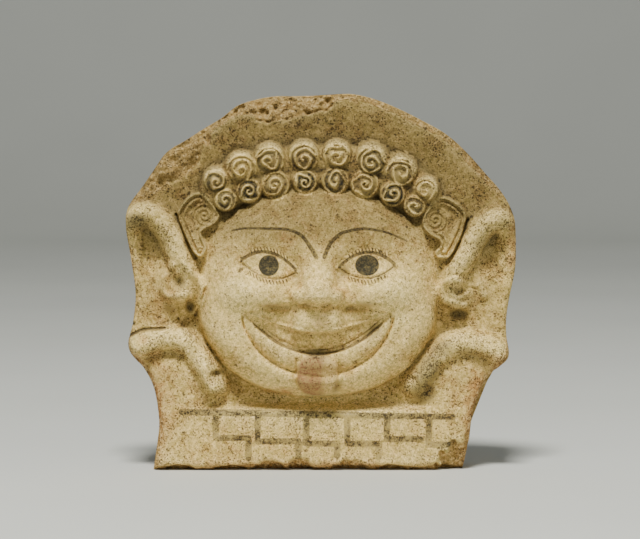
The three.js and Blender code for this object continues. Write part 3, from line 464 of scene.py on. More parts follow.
def addCurls(depth, x, z):
    mass = curls["mass"]
    distance, _ = splineDistance(x, z, mass["line"], mass["halfWidth"])
    hair = plate["field"] + (mass["depth"] - plate["field"]) * roundTop(distance, mass["halfWidth"], 3)
    depth = np.where(distance < mass["halfWidth"], blendMax(depth, hair, 2), depth)
    for index, isUpper, curl in eachCurl():
        radius = curl[2] / 2 * curls["swell"]
        near = np.hypot(x - curl[0], z - curl[1]) < radius
        nx, nz = x[near], z[near]
        knob = curls["seat"] + curls["height"] * roundTop(np.hypot(nx - curl[0], nz - curl[1]), radius,
                                                          curls["power"])
        sunk, ridge, fromRim = curlDisc(nx, nz, index, isUpper, curl)
        knob += (curls["ridge"] * ridge - curls["sink"]) * sunk + curls["rim"] * bump(fromRim - 0.4, 1)
        depth[near] = blendMax(depth[near], knob, curls["fillet"])
    return depth


# Damage: the rim broken off over the hair, the worn shoulder, the chipped foot and a crack
damage = {
    "rimBreak": {"edge": [(-64, 183), (-59, 194.8), (-44.1, 200.2), (-31.9, 196.8), (-21, 197.5), (-7.5, 200.2),
        (3.5, 203.5), (8, 209), (6, 222), (-40, 222), (-75, 205)], "step": 2.6, "slope": 0.42, "reach": 14,
        "grain": 7, "rough": 3, "fineRough": 5},
    "shoulder": {"edge": [(-114, 150), (-99, 152), (-85, 161), (-73, 168), (-67, 175), (-65.3, 184.4),
        (-62, 190), (-56, 199), (-75, 206), (-105, 190)], "depth": 2, "rough": 4},
    "footChips": [(-29.5, 10, 6.4, 4), (-12.2, 8, 7.4, 4.6), (16.3, 11, 6.6, 4), (40, 8, 3.8, 3),
        (-52, 10, 3.4, 3), (-80, 10, 4, 3)],   # x, half width, height, depth
    "footStrip": {"height": 2.4, "depth": 2.2},
    "corner": {"place": (84, -1), "size": (20, 20), "depth": 8},
    "crack": {"line": [(-109.8, 74.9), (-105.8, 77.2), (-101.8, 78.9), (-96.2, 79.8), (-88.3, 80.3)],
        "depth": 3, "halfWidth": 1.2},
    "pit": {"place": (-106.4, 82.3), "halfWidth": 1.5, "depth": 1.8},
    "edge": {"width": 2.4, "fall": 1.6, "flankWidth": 2.6, "flankFall": 2.4, "flankTop": 78, "flankBlend": 12,
        "archWidth": 1.8, "archFall": 1.4, "archFoot": 150},
    "hand": 0.8, "skin": 0.34, "onFace": 0.4,   # unevenness of the pressed clay and of its skin
}


def lostDepth(x, z, fromEdge):  # depth lost, and how bare and how cracked the clay is
    rim, shoulder, edge, crack, pit, corner, strip = (
        damage[name] for name in ("rimBreak", "shoulder", "edge", "crack", "pit", "corner", "footStrip"))
    inBreak, inWorn = (insideDistance(x, z, splinePoints(part["edge"], True, 4), 6) for part in (rim, shoulder))
    inBreak += 1.6 * roughGrain(x, z, 5, 11)
    lost = shoulder["depth"] * ease(-1, 3, inWorn)
    lost -= shoulder["rough"] * roughGrain(x, z, 7, 3) * ease(0, 3, inWorn)
    lost += rim["step"] * ease(-0.2, 0.7, inBreak) + rim["slope"] * np.clip(inBreak, 0, rim["reach"])
    lost -= ease(0, 2, inBreak) * (rim["rough"] * grain(x, z, rim["grain"], 9)
                                   + rim["fineRough"] * roughGrain(x, z, 3.2, 13))
    bare = np.maximum(0.75 * ease(-1, 3, inWorn), ease(-0.4, 0.8, inBreak))

    # chips along the foot, the strip worn off it and the broken corner
    ragged = 1 + 0.3 * grain(x, z, 3.4, 17)
    for middle, halfWidth, height, deep in damage["footChips"]:
        chip = ease(1, 0.72, np.hypot((x - middle) / halfWidth, z / height) * ragged)
        lost += deep * chip * (1 + 0.35 * roughGrain(x, z, 3, 21))
        bare = np.maximum(bare, chip)
    foot = ease(0, 1.2, strip["height"] * (1.2 + 1.6 * grain(x, x * 0, 8, 27)) - z)
    dx, dz = ((value - middle) / size for value, middle, size in zip((x, z), corner["place"], corner["size"]))
    chip = ease(1, 0.8, np.hypot(dx, dz) * ragged)
    lost += strip["depth"] * foot + corner["depth"] * chip * (1 + 0.3 * roughGrain(x, z, 4, 25))

    # edges worn round, most of all at the flanks and along the arch
    flank = ease(edge["flankTop"], edge["flankTop"] - edge["flankBlend"], z)
    arch = ease(edge["archFoot"], edge["archFoot"] + 14, z) * (1 + 0.9 * roughGrain(x, z, 6, 29))
    worn = np.clip(1 - fromEdge / (edge["width"] + edge["flankWidth"] * flank + edge["archWidth"] * arch), 0, 1)
    lost += (edge["fall"] + edge["flankFall"] * flank) * worn ** 2 + edge["archFall"] * arch * ease(0, 0.5, worn)
    edgeBare = ease(0, 0.55, worn + 0.35 * roughGrain(x, z, 5, 33)) * worn * (0.5 + 0.5 * flank)
    edgeBare = np.maximum(edgeBare, 0.85 * ease(0, 0.3, worn) * np.clip(arch, 0, 1))

    crackLine = bump(splineDistance(x, z, crack["line"], 3)[0], crack["halfWidth"])
    pitDisc = bump(np.hypot(x - pit["place"][0], z - pit["place"][1]), pit["halfWidth"])
    lost += crack["depth"] * crackLine + pit["depth"] * pitDisc
    return lost, np.max([bare, foot, chip, edgeBare], axis=0), np.maximum(crackLine, pitDisc)


def frontDepth(x, z):  # depth of the front, how bare and how cracked it is there, and the way from the edge
    fromEdge = np.maximum(insideDistance(x, z, rimLine), 0)
    depth = faceDepth(x, z, fromEdge) + sumOvals(x, z, hoops)
    depth = addSnakes(depth, plateDepth(x, z, fromEdge), x, z)
    depth += earRelief(x, z, ears["left"]) + earRelief(x, z, ears["right"])
    depth = addCurls(addCreases(depth, x, z), x, z)
    lost, bare, cracked = lostDepth(x, z, fromEdge)
    worked = 1 - (1 - damage["onFace"]) * ease(1.02, 0.94, faceRadius(x, z))
    uneven = damage["hand"] * roughGrain(x, z, 11, 31) + damage["skin"] * roughGrain(x, z, 2.6, 41)
    return depth - lost + worked * uneven, bare, cracked, fromEdge


# Paint: lines in the plate's plane, kept as distances so that the material can draw them sharply
paintwork = {
    "browLeft": [(-2.7, 122.1), (-6.6, 128.5), (-11.5, 134.4), (-19.3, 137.3), (-30.1, 137.7), (-41.9, 137.7),
        (-49.8, 136.3)],
    "browRight": [(1.8, 122.1), (5.2, 129.4), (10.1, 134.4), (14, 136.1), (23.8, 137.7), (33.6, 136.3),
        (39.5, 134.4), (48.3, 130.4)],
    "browHalfWidth": 1.05, "lidHalfWidth": 0.95, "lowerLidHalfWidth": 0.35, "mouthHalfWidth": 0.7,
    "secondHalfWidth": 0.3,
    "iris": {"places": [(-29.2, 117.2), (25.8, 117.4)], "halfWidths": (5.7, 6.7), "halfHeight": 5.8},
    "lash": {"upperOff": 1.9, "lowerOff": 2.1, "halfLength": 1.2, "pitch": 1.85, "lean": 0.35},
    "meander": {"topLeft": (-79, 33.4), "topRight": (74.5, 30.6), "halfWidth": 1.8,
        "stems": [(-59.5, 18.6, -40.9, 7.1), (-35.8, 16.7, -12.7, 7.1), (-8.2, 15.4, 9.1, 8.4),
        (14.9, 15.4, 32.8, 7.7), (37.3, 18, 56.5, None), (61, 14.8, 75.7, None)]},
    "upperLip": {"place": (0, 86), "size": (9, 6), "strength": 0.45},
    "tongueShare": 0.35,   # how much of the red is left on the worn half of the tongue
    "stainsAndShade": [   # dark paint or soot left in patches, with painted shade under the snakes' bodies, below the cheeks, in an eye's inner corner and in the hollows of the snakes' heads: place, size, turn, strength
        ((60, 57), (11, 17), -20, 1), ((58, 45), (11, 12), 10, 1), ((68, 69), (12, 8), 30, 0.8),
        ((78, 88.4), (9, 5), 0, 1), ((77.4, 101.2), (6, 5), 0, 0.5), ((-80, 106.2), (7, 7), 0, 0.7),
        ((-74.2, 92.5), (4.6, 6), 0, 1), ((-58.8, 55.3), (7, 3.4), 0, 0.9), ((-103, 141), (11, 8), -20, 0.9),
        ((-86, 91), (9, 6), 0, 0.5), ((-2.4, 67), (10, 5), 0, 0.9), ((9, 48), (4.5, 10), -25, 0.6),
        ((13, 114), (5, 7), 0, 0.6), ((30, 80), (9, 5), 35, 0.7), ((-86, 66), (14, 6), 5, 0.3),
        ((84, 66), (16, 6), -8, 0.5), ((90, 129), (11, 9), 20, 0.4), ((-66, 78), (6, 12), 25, 0.3),
        ((-28, 94.5), (12, 3.6), 0, 0.5), ((25, 95.5), (12, 3.6), 0, 0.5), ((-1, 170), (8, 3.4), 0, 0.9),
        ((86, 5), (13, 13), 0, 0.8), ((-36, 166), (10, 3), 12, 0.7), ((33, 167), (10, 3), -14, 0.8),
        ((-20, 169.5), (7, 3), 0, 0.7), ((16, 170), (7, 3), 0, 0.7), ((50, 160), (6, 3), -30, 0.8),
    ],
    "rusts": [    # warm red-brown tints
        ((-20, 133), (10, 6), -20, 0.8), ((-22, 45), (16, 4), 0, 0.9), ((18, 45), (12, 4), 0, 0.4),
        ((-101, 74), (5, 5), 0, 0.8), ((-52, 86), (8, 6), 0, 0.3), ((52, 92), (9, 8), 0, 0.3),
        ((-60, 163), (8, 7), 0, 0.4), ((-9, 178), (7, 7), 0, 0.3), ((108, 128), (4, 24), 0, 0.8),
        ((-93, 36), (13, 40), 5, 1), ((88, 36), (11, 36), -8, 1), ((-88, 96), (16, 16), 0, 0.35),
        ((-10, 0), (140, 9), 0, 1), ((86, 5), (15, 17), 0, 1), ((100, 60), (10, 9), 0, 0.8),
        ((-104, 62), (8, 9), 0, 0.9), ((-108, 112), (3, 20), 0, 0.7),
    ],
    "pales": [   # where the slip is painted pale: painted highlight on the cheeks, the jaw and the upper lip, painted light under the chin and on the band, with slip worn pale
        ((-2, 87.5), (22, 6), 0, 0.8), ((-46, 92), (20, 28), 0, 0.9), ((44, 96), (22, 30), 0, 1),
        ((-2, 39), (72, 10), 0, 1), ((-36, 62), (22, 8), -35, 0.5), ((34, 62), (22, 8), 35, 0.4),
        ((-2, 28), (80, 14), 0, 0.5),
    ],
    "crestHighlight": 0.4, "earRim": 0.7,   # painted highlight: how pale the backs of the snakes and the upper rims of the ears are
    "lit": [   # hollows that catch the light
        ((-2, 39), (84, 13), 0, 0.6), ((-60, 132), (12, 11), 0, 1), ((60, 129), (12, 11), 0, 1),
    ],
    "shade": {"low": 110, "high": 143, "sides": 0.34, "lessOnCurls": 0.7, "lessOnSnakes": 0.5,
        "lessWhereBare": 0.25, "wall": 0.4},   # painted shade: the upper part is darker, and the sides beside the face
    "flecks": {"face": 0.42, "field": 0.26, "top": 0.1, "snakes": 0.9, "wall": 0.5},   # how many dark specks
}


away = 50.0   # distance given where no painted line is near


def strokes(x, z):  # distance outside the nearest painted line: the face's lines, then the meander's
    fine, broad = np.full(x.shape, away), np.full(x.shape, away)
    for name in ("browLeft", "browRight"):
        distance, along = splineDistance(x, z, paintwork[name], 6)
        fine = np.minimum(fine, distance - paintwork["browHalfWidth"] * (1.15 - 0.65 * along))
    for _, across, upper, lower in eachEye(x):
        across = np.abs(across)
        reach, lean = np.where(across < 1.04, 0, 40), np.hypot(1, 0.95 * np.clip(across, 0, 1))
        fine = np.minimum(fine, np.abs(z - upper - 0.3) / lean - paintwork["lidHalfWidth"] + reach)
        fine = np.minimum(fine, np.abs(z - lower) / lean - paintwork["lowerLidHalfWidth"] + reach)
    across, _, lower, _ = mouthLines(x)
    fromLip = (z - lower) / np.hypot(1, 1.1 * across)
    lipLine = np.minimum(np.abs(fromLip) - paintwork["mouthHalfWidth"],
                         np.abs(fromLip - face["lip"]["secondDrop"]) - paintwork["secondHalfWidth"])
    lipLine += 0.1 + 0.5 * roughGrain(x, z, 7, 97) + 30 * np.maximum(across - face["mouth"]["corner"], 0)
    meander = paintwork["meander"]
    (leftX, leftZ), (rightX, rightZ) = meander["topLeft"], meander["topRight"]
    lines = [[(leftX, leftZ), (rightX, rightZ)]]
    for stemX, turnZ, hookX, hookZ in meander["stems"]:
        top = leftZ + (rightZ - leftZ) * (stemX - leftX) / (rightX - leftX)
        lines.append([(stemX, top), (stemX, turnZ), (hookX, turnZ)])
        if hookZ is not None:
            lines.append([(hookX, turnZ), (hookX, hookZ)])
    for line in lines:
        broad = np.minimum(broad, lineDistance(x, z, np.array(line, float), 6)[0] - meander["halfWidth"])
    return np.minimum(fine, lipLine), broad


def lashes(x, z):  # distance outside the rows of lashes, and the running count of lashes
    lash, band, count = paintwork["lash"], np.full(x.shape, away), np.zeros(x.shape)
    for middle, across, upper, lower in eachEye(x):
        near = np.abs(across) < 1.1
        rows = np.minimum(np.abs(z - upper - lash["upperOff"]), np.abs(lower - z - lash["lowerOff"]))
        band = np.where(near, rows - lash["halfLength"] + np.where(np.abs(across) < 0.72, 0, 40), band)
        lean = lash["lean"] * np.where(z > face["eyes"]["z"], z - upper, z - lower)
        count = np.where(near, (x - middle + lean) / lash["pitch"], count)
    return band, count


def paintMasks(x, z):
    iris, lip, pupil, curlPaint = paintwork["iris"], paintwork["upperLip"], away, np.zeros(x.shape)
    for (middleX, middleZ), halfWidth in zip(iris["places"], iris["halfWidths"]):
        out = np.hypot((x - middleX) / halfWidth, (z - middleZ) / iris["halfHeight"])
        pupil = np.minimum(pupil, (out - 1) * iris["halfHeight"])
    lostHalf = ease(face["x"] - 1, face["x"] + 6, x + 3 * grain(x, z, 4, 93))
    red = ease(1.06, 0.9, tongueReach(x, z)) * (1 - (1 - paintwork["tongueShare"]) * lostHalf)
    red = np.maximum(red, lip["strength"] * ovalBump(x, z, lip["place"], lip["size"]))
    for index, isUpper, curl in eachCurl():
        sunk, ridge, _ = curlDisc(x, z, index, isUpper, curl)
        strength = (0.7 if isUpper else 1) + 0.3 * math.sin(index * 2.3 + 2 * isUpper)
        curlPaint = np.maximum(curlPaint, sunk * strength * (1 - ridge ** 0.6))
    return pupil, red, curlPaint


def surroundDepth(x, z):  # mean depth of the front round each place, from a coarse copy of it
    step = body["coarseStep"]
    gx, gz = np.meshgrid(np.arange(-116, 118, step), np.arange(-6, 220, step), indexing="ij")
    blurred = frontDepth(gx.ravel(), gz.ravel())[0].reshape(gx.shape)
    for _ in range(body["blurRounds"]):
        wide = np.pad(blurred, 1, mode="edge")
        blurred = (wide[:-2, 1:-1] + wide[2:, 1:-1] + wide[1:-1, :-2] + wide[1:-1, 2:] + 2 * wide[1:-1, 1:-1]) / 6
    u, v = (x - gx[0, 0]) / step, (z - gz[0, 0]) / step
    i, j = np.clip(u.astype(int), 0, gx.shape[0] - 2), np.clip(v.astype(int), 0, gx.shape[1] - 2)
    u, v = u - i, v - j
    return (blurred[i, j] * (1 - u) + blurred[i + 1, j] * u) * (1 - v) \
        + (blurred[i, j + 1] * (1 - u) + blurred[i + 1, j + 1] * u) * v


# Body of the antefix: a sheet for the front, its edge drawn back in steps, and a sheet for the back
body = {
    "frontCells": 144, "backCells": 64, "wallRings": 6,
    "fineAreas": [((-68, 40), (66, 162)), ((-94, 84), (-54, 160)), ((54, 84), (94, 160)),
                  ((-112, 72), (-86, 84)), ((-74, 40), (-50, 66)), ((-78, 180), (20, 214)),
                  ((-114, 148), (-62, 190)), ((-96, 0), (96, 10))],
    "edgeRough": 0.9, "backRough": 0.5, "backBevel": 1.6,
    "coarseStep": 2.0, "blurRounds": 12, "deepHollow": 5,   # for the mask of the hollows, painted as shade and highlight
    "bare": {"wall": 0.8, "back": 0.48, "scar": 0.4},
    "aside": 0.13, "inset": 0.05,   # shift and margin that keep it within the solid's box
}


def pickObjects(*pieces):  # these alone, with the first one active
    bpy.ops.object.select_all(action="DESELECT")
    for piece in reversed(pieces):
        piece.select_set(True)
        bpy.context.view_layer.objects.active = piece


def startEdit(kind, action="DESELECT"):  # edit mode, with all or nothing selected
    bpy.ops.object.mode_set(mode="EDIT")
    bpy.ops.mesh.select_mode(type=kind)
    bpy.ops.mesh.select_all(action=action)


def endEdit():
    bpy.ops.mesh.select_all(action="DESELECT")
    bpy.ops.object.mode_set(mode="OBJECT")


def gridSheet(name, cells, level):  # a square sheet over the shares across and up
    pickObjects()
    bpy.ops.mesh.primitive_grid_add(x_subdivisions=cells, y_subdivisions=cells, size=1,
                                    location=(0.5, 0.5, level))
    bpy.ops.object.transform_apply(location=True, rotation=True, scale=True)
    bpy.context.object.name = name
    return bpy.context.object


def subdivideWhere(sheet, isFine):  # splits the faces whose middle passes the test
    mesh = sheet.data
    centres = np.zeros(len(mesh.polygons) * 3)
    mesh.polygons.foreach_get("center", centres)
    startEdit("FACE")
    bpy.ops.object.mode_set(mode="OBJECT")
    mesh.polygons.foreach_set("select", isFine(*platePlace(centres[0::3], centres[1::3])))
    bpy.ops.object.mode_set(mode="EDIT")
    bpy.ops.mesh.subdivide(number_cuts=1, ngon=False)
    bpy.ops.object.mode_set(mode="OBJECT")


def inFineArea(x, z):
    chosen = np.zeros(x.shape, bool)
    for (lowX, lowZ), (highX, highZ) in body["fineAreas"]:
        chosen |= (x > lowX) & (x < highX) & (z > lowZ) & (z < highZ)
    return chosen | nearCurls(x, z)


def nearCurls(x, z):
    return np.any([np.hypot(x - curl[0], z - curl[1]) < curl[2] / 2 + 1 for _, _, curl in eachCurl()], axis=0)


def nearDetail(x, z):  # the curls and the ears
    chosen = nearCurls(x, z)
    for ear in (ears["left"], ears["right"]):
        chosen |= insideDistance(x, z, splinePoints(ear["edge"], True, 3)) > -1
    return chosen


def makeShell():  # the closed body in shares across and up, with its ring number as height
    front = gridSheet("antefixBody", body["frontCells"], 0)
    subdivideWhere(front, inFineArea)
    subdivideWhere(front, nearDetail)
    startEdit("EDGE")
    bpy.ops.mesh.select_non_manifold(extend=False)
    for _ in range(body["wallRings"]):
        bpy.ops.mesh.extrude_edges_move(TRANSFORM_OT_translate={"value": (0, 0, 1)})
    bpy.ops.object.mode_set(mode="OBJECT")
    pickObjects(front, gridSheet("backSheet", body["backCells"], body["wallRings"] + 1))
    bpy.ops.object.join()
    startEdit("EDGE")
    bpy.ops.mesh.select_non_manifold(extend=False)
    bpy.ops.mesh.bridge_edge_loops()
    endEdit()
    return front


def backRelief(x, z):  # how far the back is sunk: the arch-shaped scar of the tile and a rough skin
    scar = plate["scar"]
    dx, springing = np.abs(x - scar["x"]), scar["top"] - scar["halfWidth"]
    out = np.where(z > springing, np.hypot(dx, z - springing), dx)
    onScar = ease(1.5, -0.5, np.abs(out - scar["halfWidth"] + scar["wall"] / 2) - scar["wall"] / 2)
    rough, broken = np.clip(0.5 + roughGrain(x, z, 6, 51), 0, 1.2), np.clip(0.5 + roughGrain(x, z, 3, 57), 0, 1.3)
    return body["backRough"] * rough + scar["depth"] * onScar * broken, onScar


def shapeShell(shell, lowest, highest):  # gives each vertex its place and what the material reads there
    mesh, rings = shell.data, body["wallRings"]
    flat = np.zeros(len(mesh.vertices) * 3)
    mesh.vertices.foreach_get("co", flat)
    u, v, ring = flat.reshape(-1, 3).T
    onWall, onBack = (ring > 0.5) & (ring < rings + 0.5), ring > rings + 0.5
    x, z = platePlace(np.clip(u, 0, 1), np.clip(v, 0, 1))
    depth, bare, cracked, fromEdge = frontDepth(x, z)
    # how sunk each place is: the material paints shade in it and a highlight on what stands out
    hollow = np.clip((surroundDepth(x, z) - depth) / body["deepHollow"], -1, 1)
    lit = sumOvals(x, z, paintwork["lit"]) + 0.45 * bump(faceRadius(x, z) - 1.03, 0.09) * ease(106, 96, z)
    hollow *= 1 - np.clip(lit, 0, 0.8)
    # the broken edge is rough inwards only, so that the outline stays
    wallDepth = depth * (1 - np.clip(ring / (rings + 1), 0, 1))
    rough = body["edgeRough"] * (0.5 + roughGrain(np.arctan2(z - 90, x) * 100, wallDepth, 5, 61)) * onWall
    toMiddle = np.hypot(x, z - 100)
    x, z = x - rough * x / toMiddle, z + rough * np.where(z < 0.5, 0, (100 - z) / toMiddle)
    sunk, onScar = backRelief(x, z)
    bevel = body["backBevel"] * ease(body["backBevel"], 0, fromEdge) * (0.6 + 0.8 * (0.5 + grain(x, z, 9, 71)))
    final = np.where(onBack, (sunk + bevel * 0.6) * ease(0, 2, z), np.where(onWall, wallDepth, depth))
    places = np.stack([x * mm - body["aside"] * mm, highest.y - final * mm, z * mm], -1)
    inset = body["inset"] * mm
    places = np.clip(places, np.array(lowest) + (inset, inset, 0), np.array(highest) - (inset, 0, inset))
    mesh.vertices.foreach_set("co", places.ravel())
    mesh.update()

    plain = body["bare"]
    bare = np.where(onWall, plain["wall"], np.where(onBack, plain["back"] + plain["scar"] * onScar, bare))
    fine, broad = strokes(x, z)
    band, count = lashes(x, z)
    pupil, red, curlPaint = paintMasks(x, z)
    # dark patches of soot and paint with painted shade, rust tints, and pale patches of painted light with worn
    # slip
    stainAndShade, rust, rubbedAndLit = (topOvals(x, z, paintwork[name]) for name in ("stainsAndShade", "rusts", "pales"))
    stainAndShade = np.maximum(stainAndShade, 0.5 * bare * ease(11, 6, z))
    flecks, tone = paintwork["flecks"], paintwork["shade"]
    flecked = flecks["face"] + flecks["field"] * ease(0.9, 1.04, faceRadius(x, z))
    flecked += flecks["top"] * ease(112, 136, z)
    onSnakes = np.zeros(x.shape)
    for snake in snakes.values():
        distance, _ = splineDistance(x, z, snake["spine"], 14, 4)
        flecked = np.maximum(flecked, flecks["snakes"] * ease(14, 8, distance))
        # painted highlight along the backs of the snakes and on the upper rims of the ears
        rubbedAndLit = np.maximum(rubbedAndLit, paintwork["crestHighlight"] * ease(6.5, 2, distance) * ease(26, 32, depth))
        onSnakes = np.maximum(onSnakes, ease(9, 4, distance))
    for ear in (ears["left"], ears["right"]):
        rubbedAndLit = np.maximum(rubbedAndLit, paintwork["earRim"] * bump(insideEar(x, z, ear) - 1, 1.6) * ease(140, 148, z))
    onCurls = nearCurls(x, z) * ease(33, 37, depth)
    besideFace = ease(0.98, 1.08, faceRadius(x, z)) * ease(30, 40, z)
    # painted shade: darker upper part and sides, less on the curls, the snakes and bare clay
    shade = ease(tone["low"], tone["high"], z) * (1 - tone["lessOnCurls"] * onCurls)
    shade = np.maximum(shade, tone["sides"] * besideFace) * (1 - tone["lessOnSnakes"] * onSnakes)
    shade *= 1 - tone["lessWhereBare"] * bare
    masks = {   # values on the front, and those for the sides and the back
        "bare": (bare, bare), "cracked": (cracked, 0), "hollow": (hollow, 0), "fineStroke": (fine, away),
        "broadStroke": (broad, away), "lashBand": (band, away), "lashCount": (count, count),
        "pupil": (pupil, away), "red": (red, 0), "stainAndShade": (stainAndShade, 0), "rust": (rust, 0),
        "curlPaint": (curlPaint, 0), "rubbedAndLit": (rubbedAndLit, 0), "shade": (shade, tone["wall"]),
        "flecked": (flecked, flecks["wall"]),
    }
    for name, (values, elsewhere) in masks.items():
        layer = mesh.attributes.new(name, "FLOAT", "POINT")
        layer.data.foreach_set("value", np.where(onWall | onBack, elsewhere, values).astype(np.float32))


def makeAntefix():
    lowest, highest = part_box("antefix")
    shell = makeShell()
    shapeShell(shell, lowest, highest)
    pickObjects(shell)
    startEdit("FACE", "SELECT")
    bpy.ops.mesh.normals_make_consistent(inside=False)
    endEdit()
    bpy.ops.object.shade_smooth_by_angle(angle=math.radians(60))
    return shell


# Node helpers
def makeNode(tree, kind, inputs=None, **settings):
    node = tree.nodes.new(kind)
    for name, value in settings.items():
        setattr(node, name, value)
    for key, value in (inputs or {}).items():
        if isinstance(value, bpy.types.NodeSocket):
            tree.links.new(value, node.inputs[key])
        else:
            node.inputs[key].default_value = value
    return node


def calc(tree, operation, a, b=0.0, c=0.0):
    return makeNode(tree, "ShaderNodeMath", {0: a, 1: b, 2: c}, operation=operation).outputs[0]


def remap(tree, value, low, high, toLow=0.0, toHigh=1.0):
    inputs = {"Value": value, "From Min": low, "From Max": high, "To Min": toLow, "To Max": toHigh}
    return makeNode(tree, "ShaderNodeMapRange", inputs, interpolation_type="SMOOTHSTEP").outputs[0]


def mixColour(tree, share, a, b, blend="MIX"):
    return makeNode(tree, "ShaderNodeMix", {0: share, 6: a, 7: b}, data_type="RGBA", blend_type=blend,
                    clamp_factor=True).outputs[2]


def noiseValue(tree, where, size, detail=3, roughness=0.55):  # size of a lump in millimetres
    return makeNode(tree, "ShaderNodeTexNoise", {"Vector": where, "Scale": 1 / (size * mm), "Detail": detail,
                                                 "Roughness": roughness}).outputs[0]


def srgb(*tones):  # a colour read off the clay, made linear
    return (*(c / 255 / 12.92 if c <= 10 else ((c / 255 + 0.055) / 1.055) ** 2.4 for c in tones), 1)


def makeSpeckGroup():  # scattered dark pits: a mask for their colour and for their depth
    tree = bpy.data.node_groups.new("clayPits", "ShaderNodeTree")
    for name, kind in (("Vector", "Vector"), ("Size", "Float"), ("Share", "Float")):
        tree.interface.new_socket(name, in_out="INPUT", socket_type="NodeSocket" + kind)
    tree.interface.new_socket("Mask", in_out="OUTPUT", socket_type="NodeSocketFloat")
    inside = tree.nodes.new("NodeGroupInput")
    where = inside.outputs["Vector"]
    scale = calc(tree, "DIVIDE", 1000.0, inside.outputs["Size"])
    cells = makeNode(tree, "ShaderNodeTexVoronoi", {"Vector": where, "Scale": scale, "Randomness": 1.0})
    pick = makeNode(tree, "ShaderNodeSeparateColor", {0: cells.outputs["Color"]})
    chosen = calc(tree, "LESS_THAN", pick.outputs[0], inside.outputs["Share"])
    radius = calc(tree, "MULTIPLY_ADD", pick.outputs[1], 0.26, 0.1)
    wobble = makeNode(tree, "ShaderNodeTexNoise", {"Vector": where, "Scale": 1100.0, "Detail": 2.0}).outputs[0]
    reach = calc(tree, "ADD", cells.outputs["Distance"], calc(tree, "MULTIPLY_ADD", wobble, 0.7, -0.35))
    within = calc(tree, "SUBTRACT", radius, reach)
    spot = makeNode(tree, "ShaderNodeMapRange", {"Value": within, "From Max": 0.12}).outputs[0]
    makeNode(tree, "NodeGroupOutput", {"Mask": calc(tree, "MULTIPLY", spot, chosen)})
    return tree


# Finish of the clay: colours of slip, clay and paint
clayFinish = {
    "slip": srgb(234, 202, 124), "slipHighlight": srgb(255, 226, 150), "slipLitAndWorn": srgb(255, 228, 150),
    "slipTan": srgb(202, 162, 92), "paintedHollowShade": srgb(152, 134, 88), "shade": srgb(160, 158, 152),
    "clay": srgb(212, 174, 104), "clayOrange": srgb(184, 126, 70), "claySandy": srgb(240, 208, 138),
    "speck": srgb(60, 46, 26), "paint": srgb(56, 44, 26), "meander": srgb(58, 50, 34),
    "curlPaint": srgb(50, 48, 36), "iris": srgb(56, 52, 36), "red": srgb(138, 90, 58),
    "stainAndShade": srgb(72, 60, 38), "grimeAndShade": srgb(112, 92, 56),
    "roughness": (0.82, 0.96), "specular": 0.25, "bumpStrength": 0.7, "bumpDistance": 0.0011,
    "pits": ((1.7, 0.3), (3.0, 0.16), (6.5, 0.05)),   # size and share of the clay
}


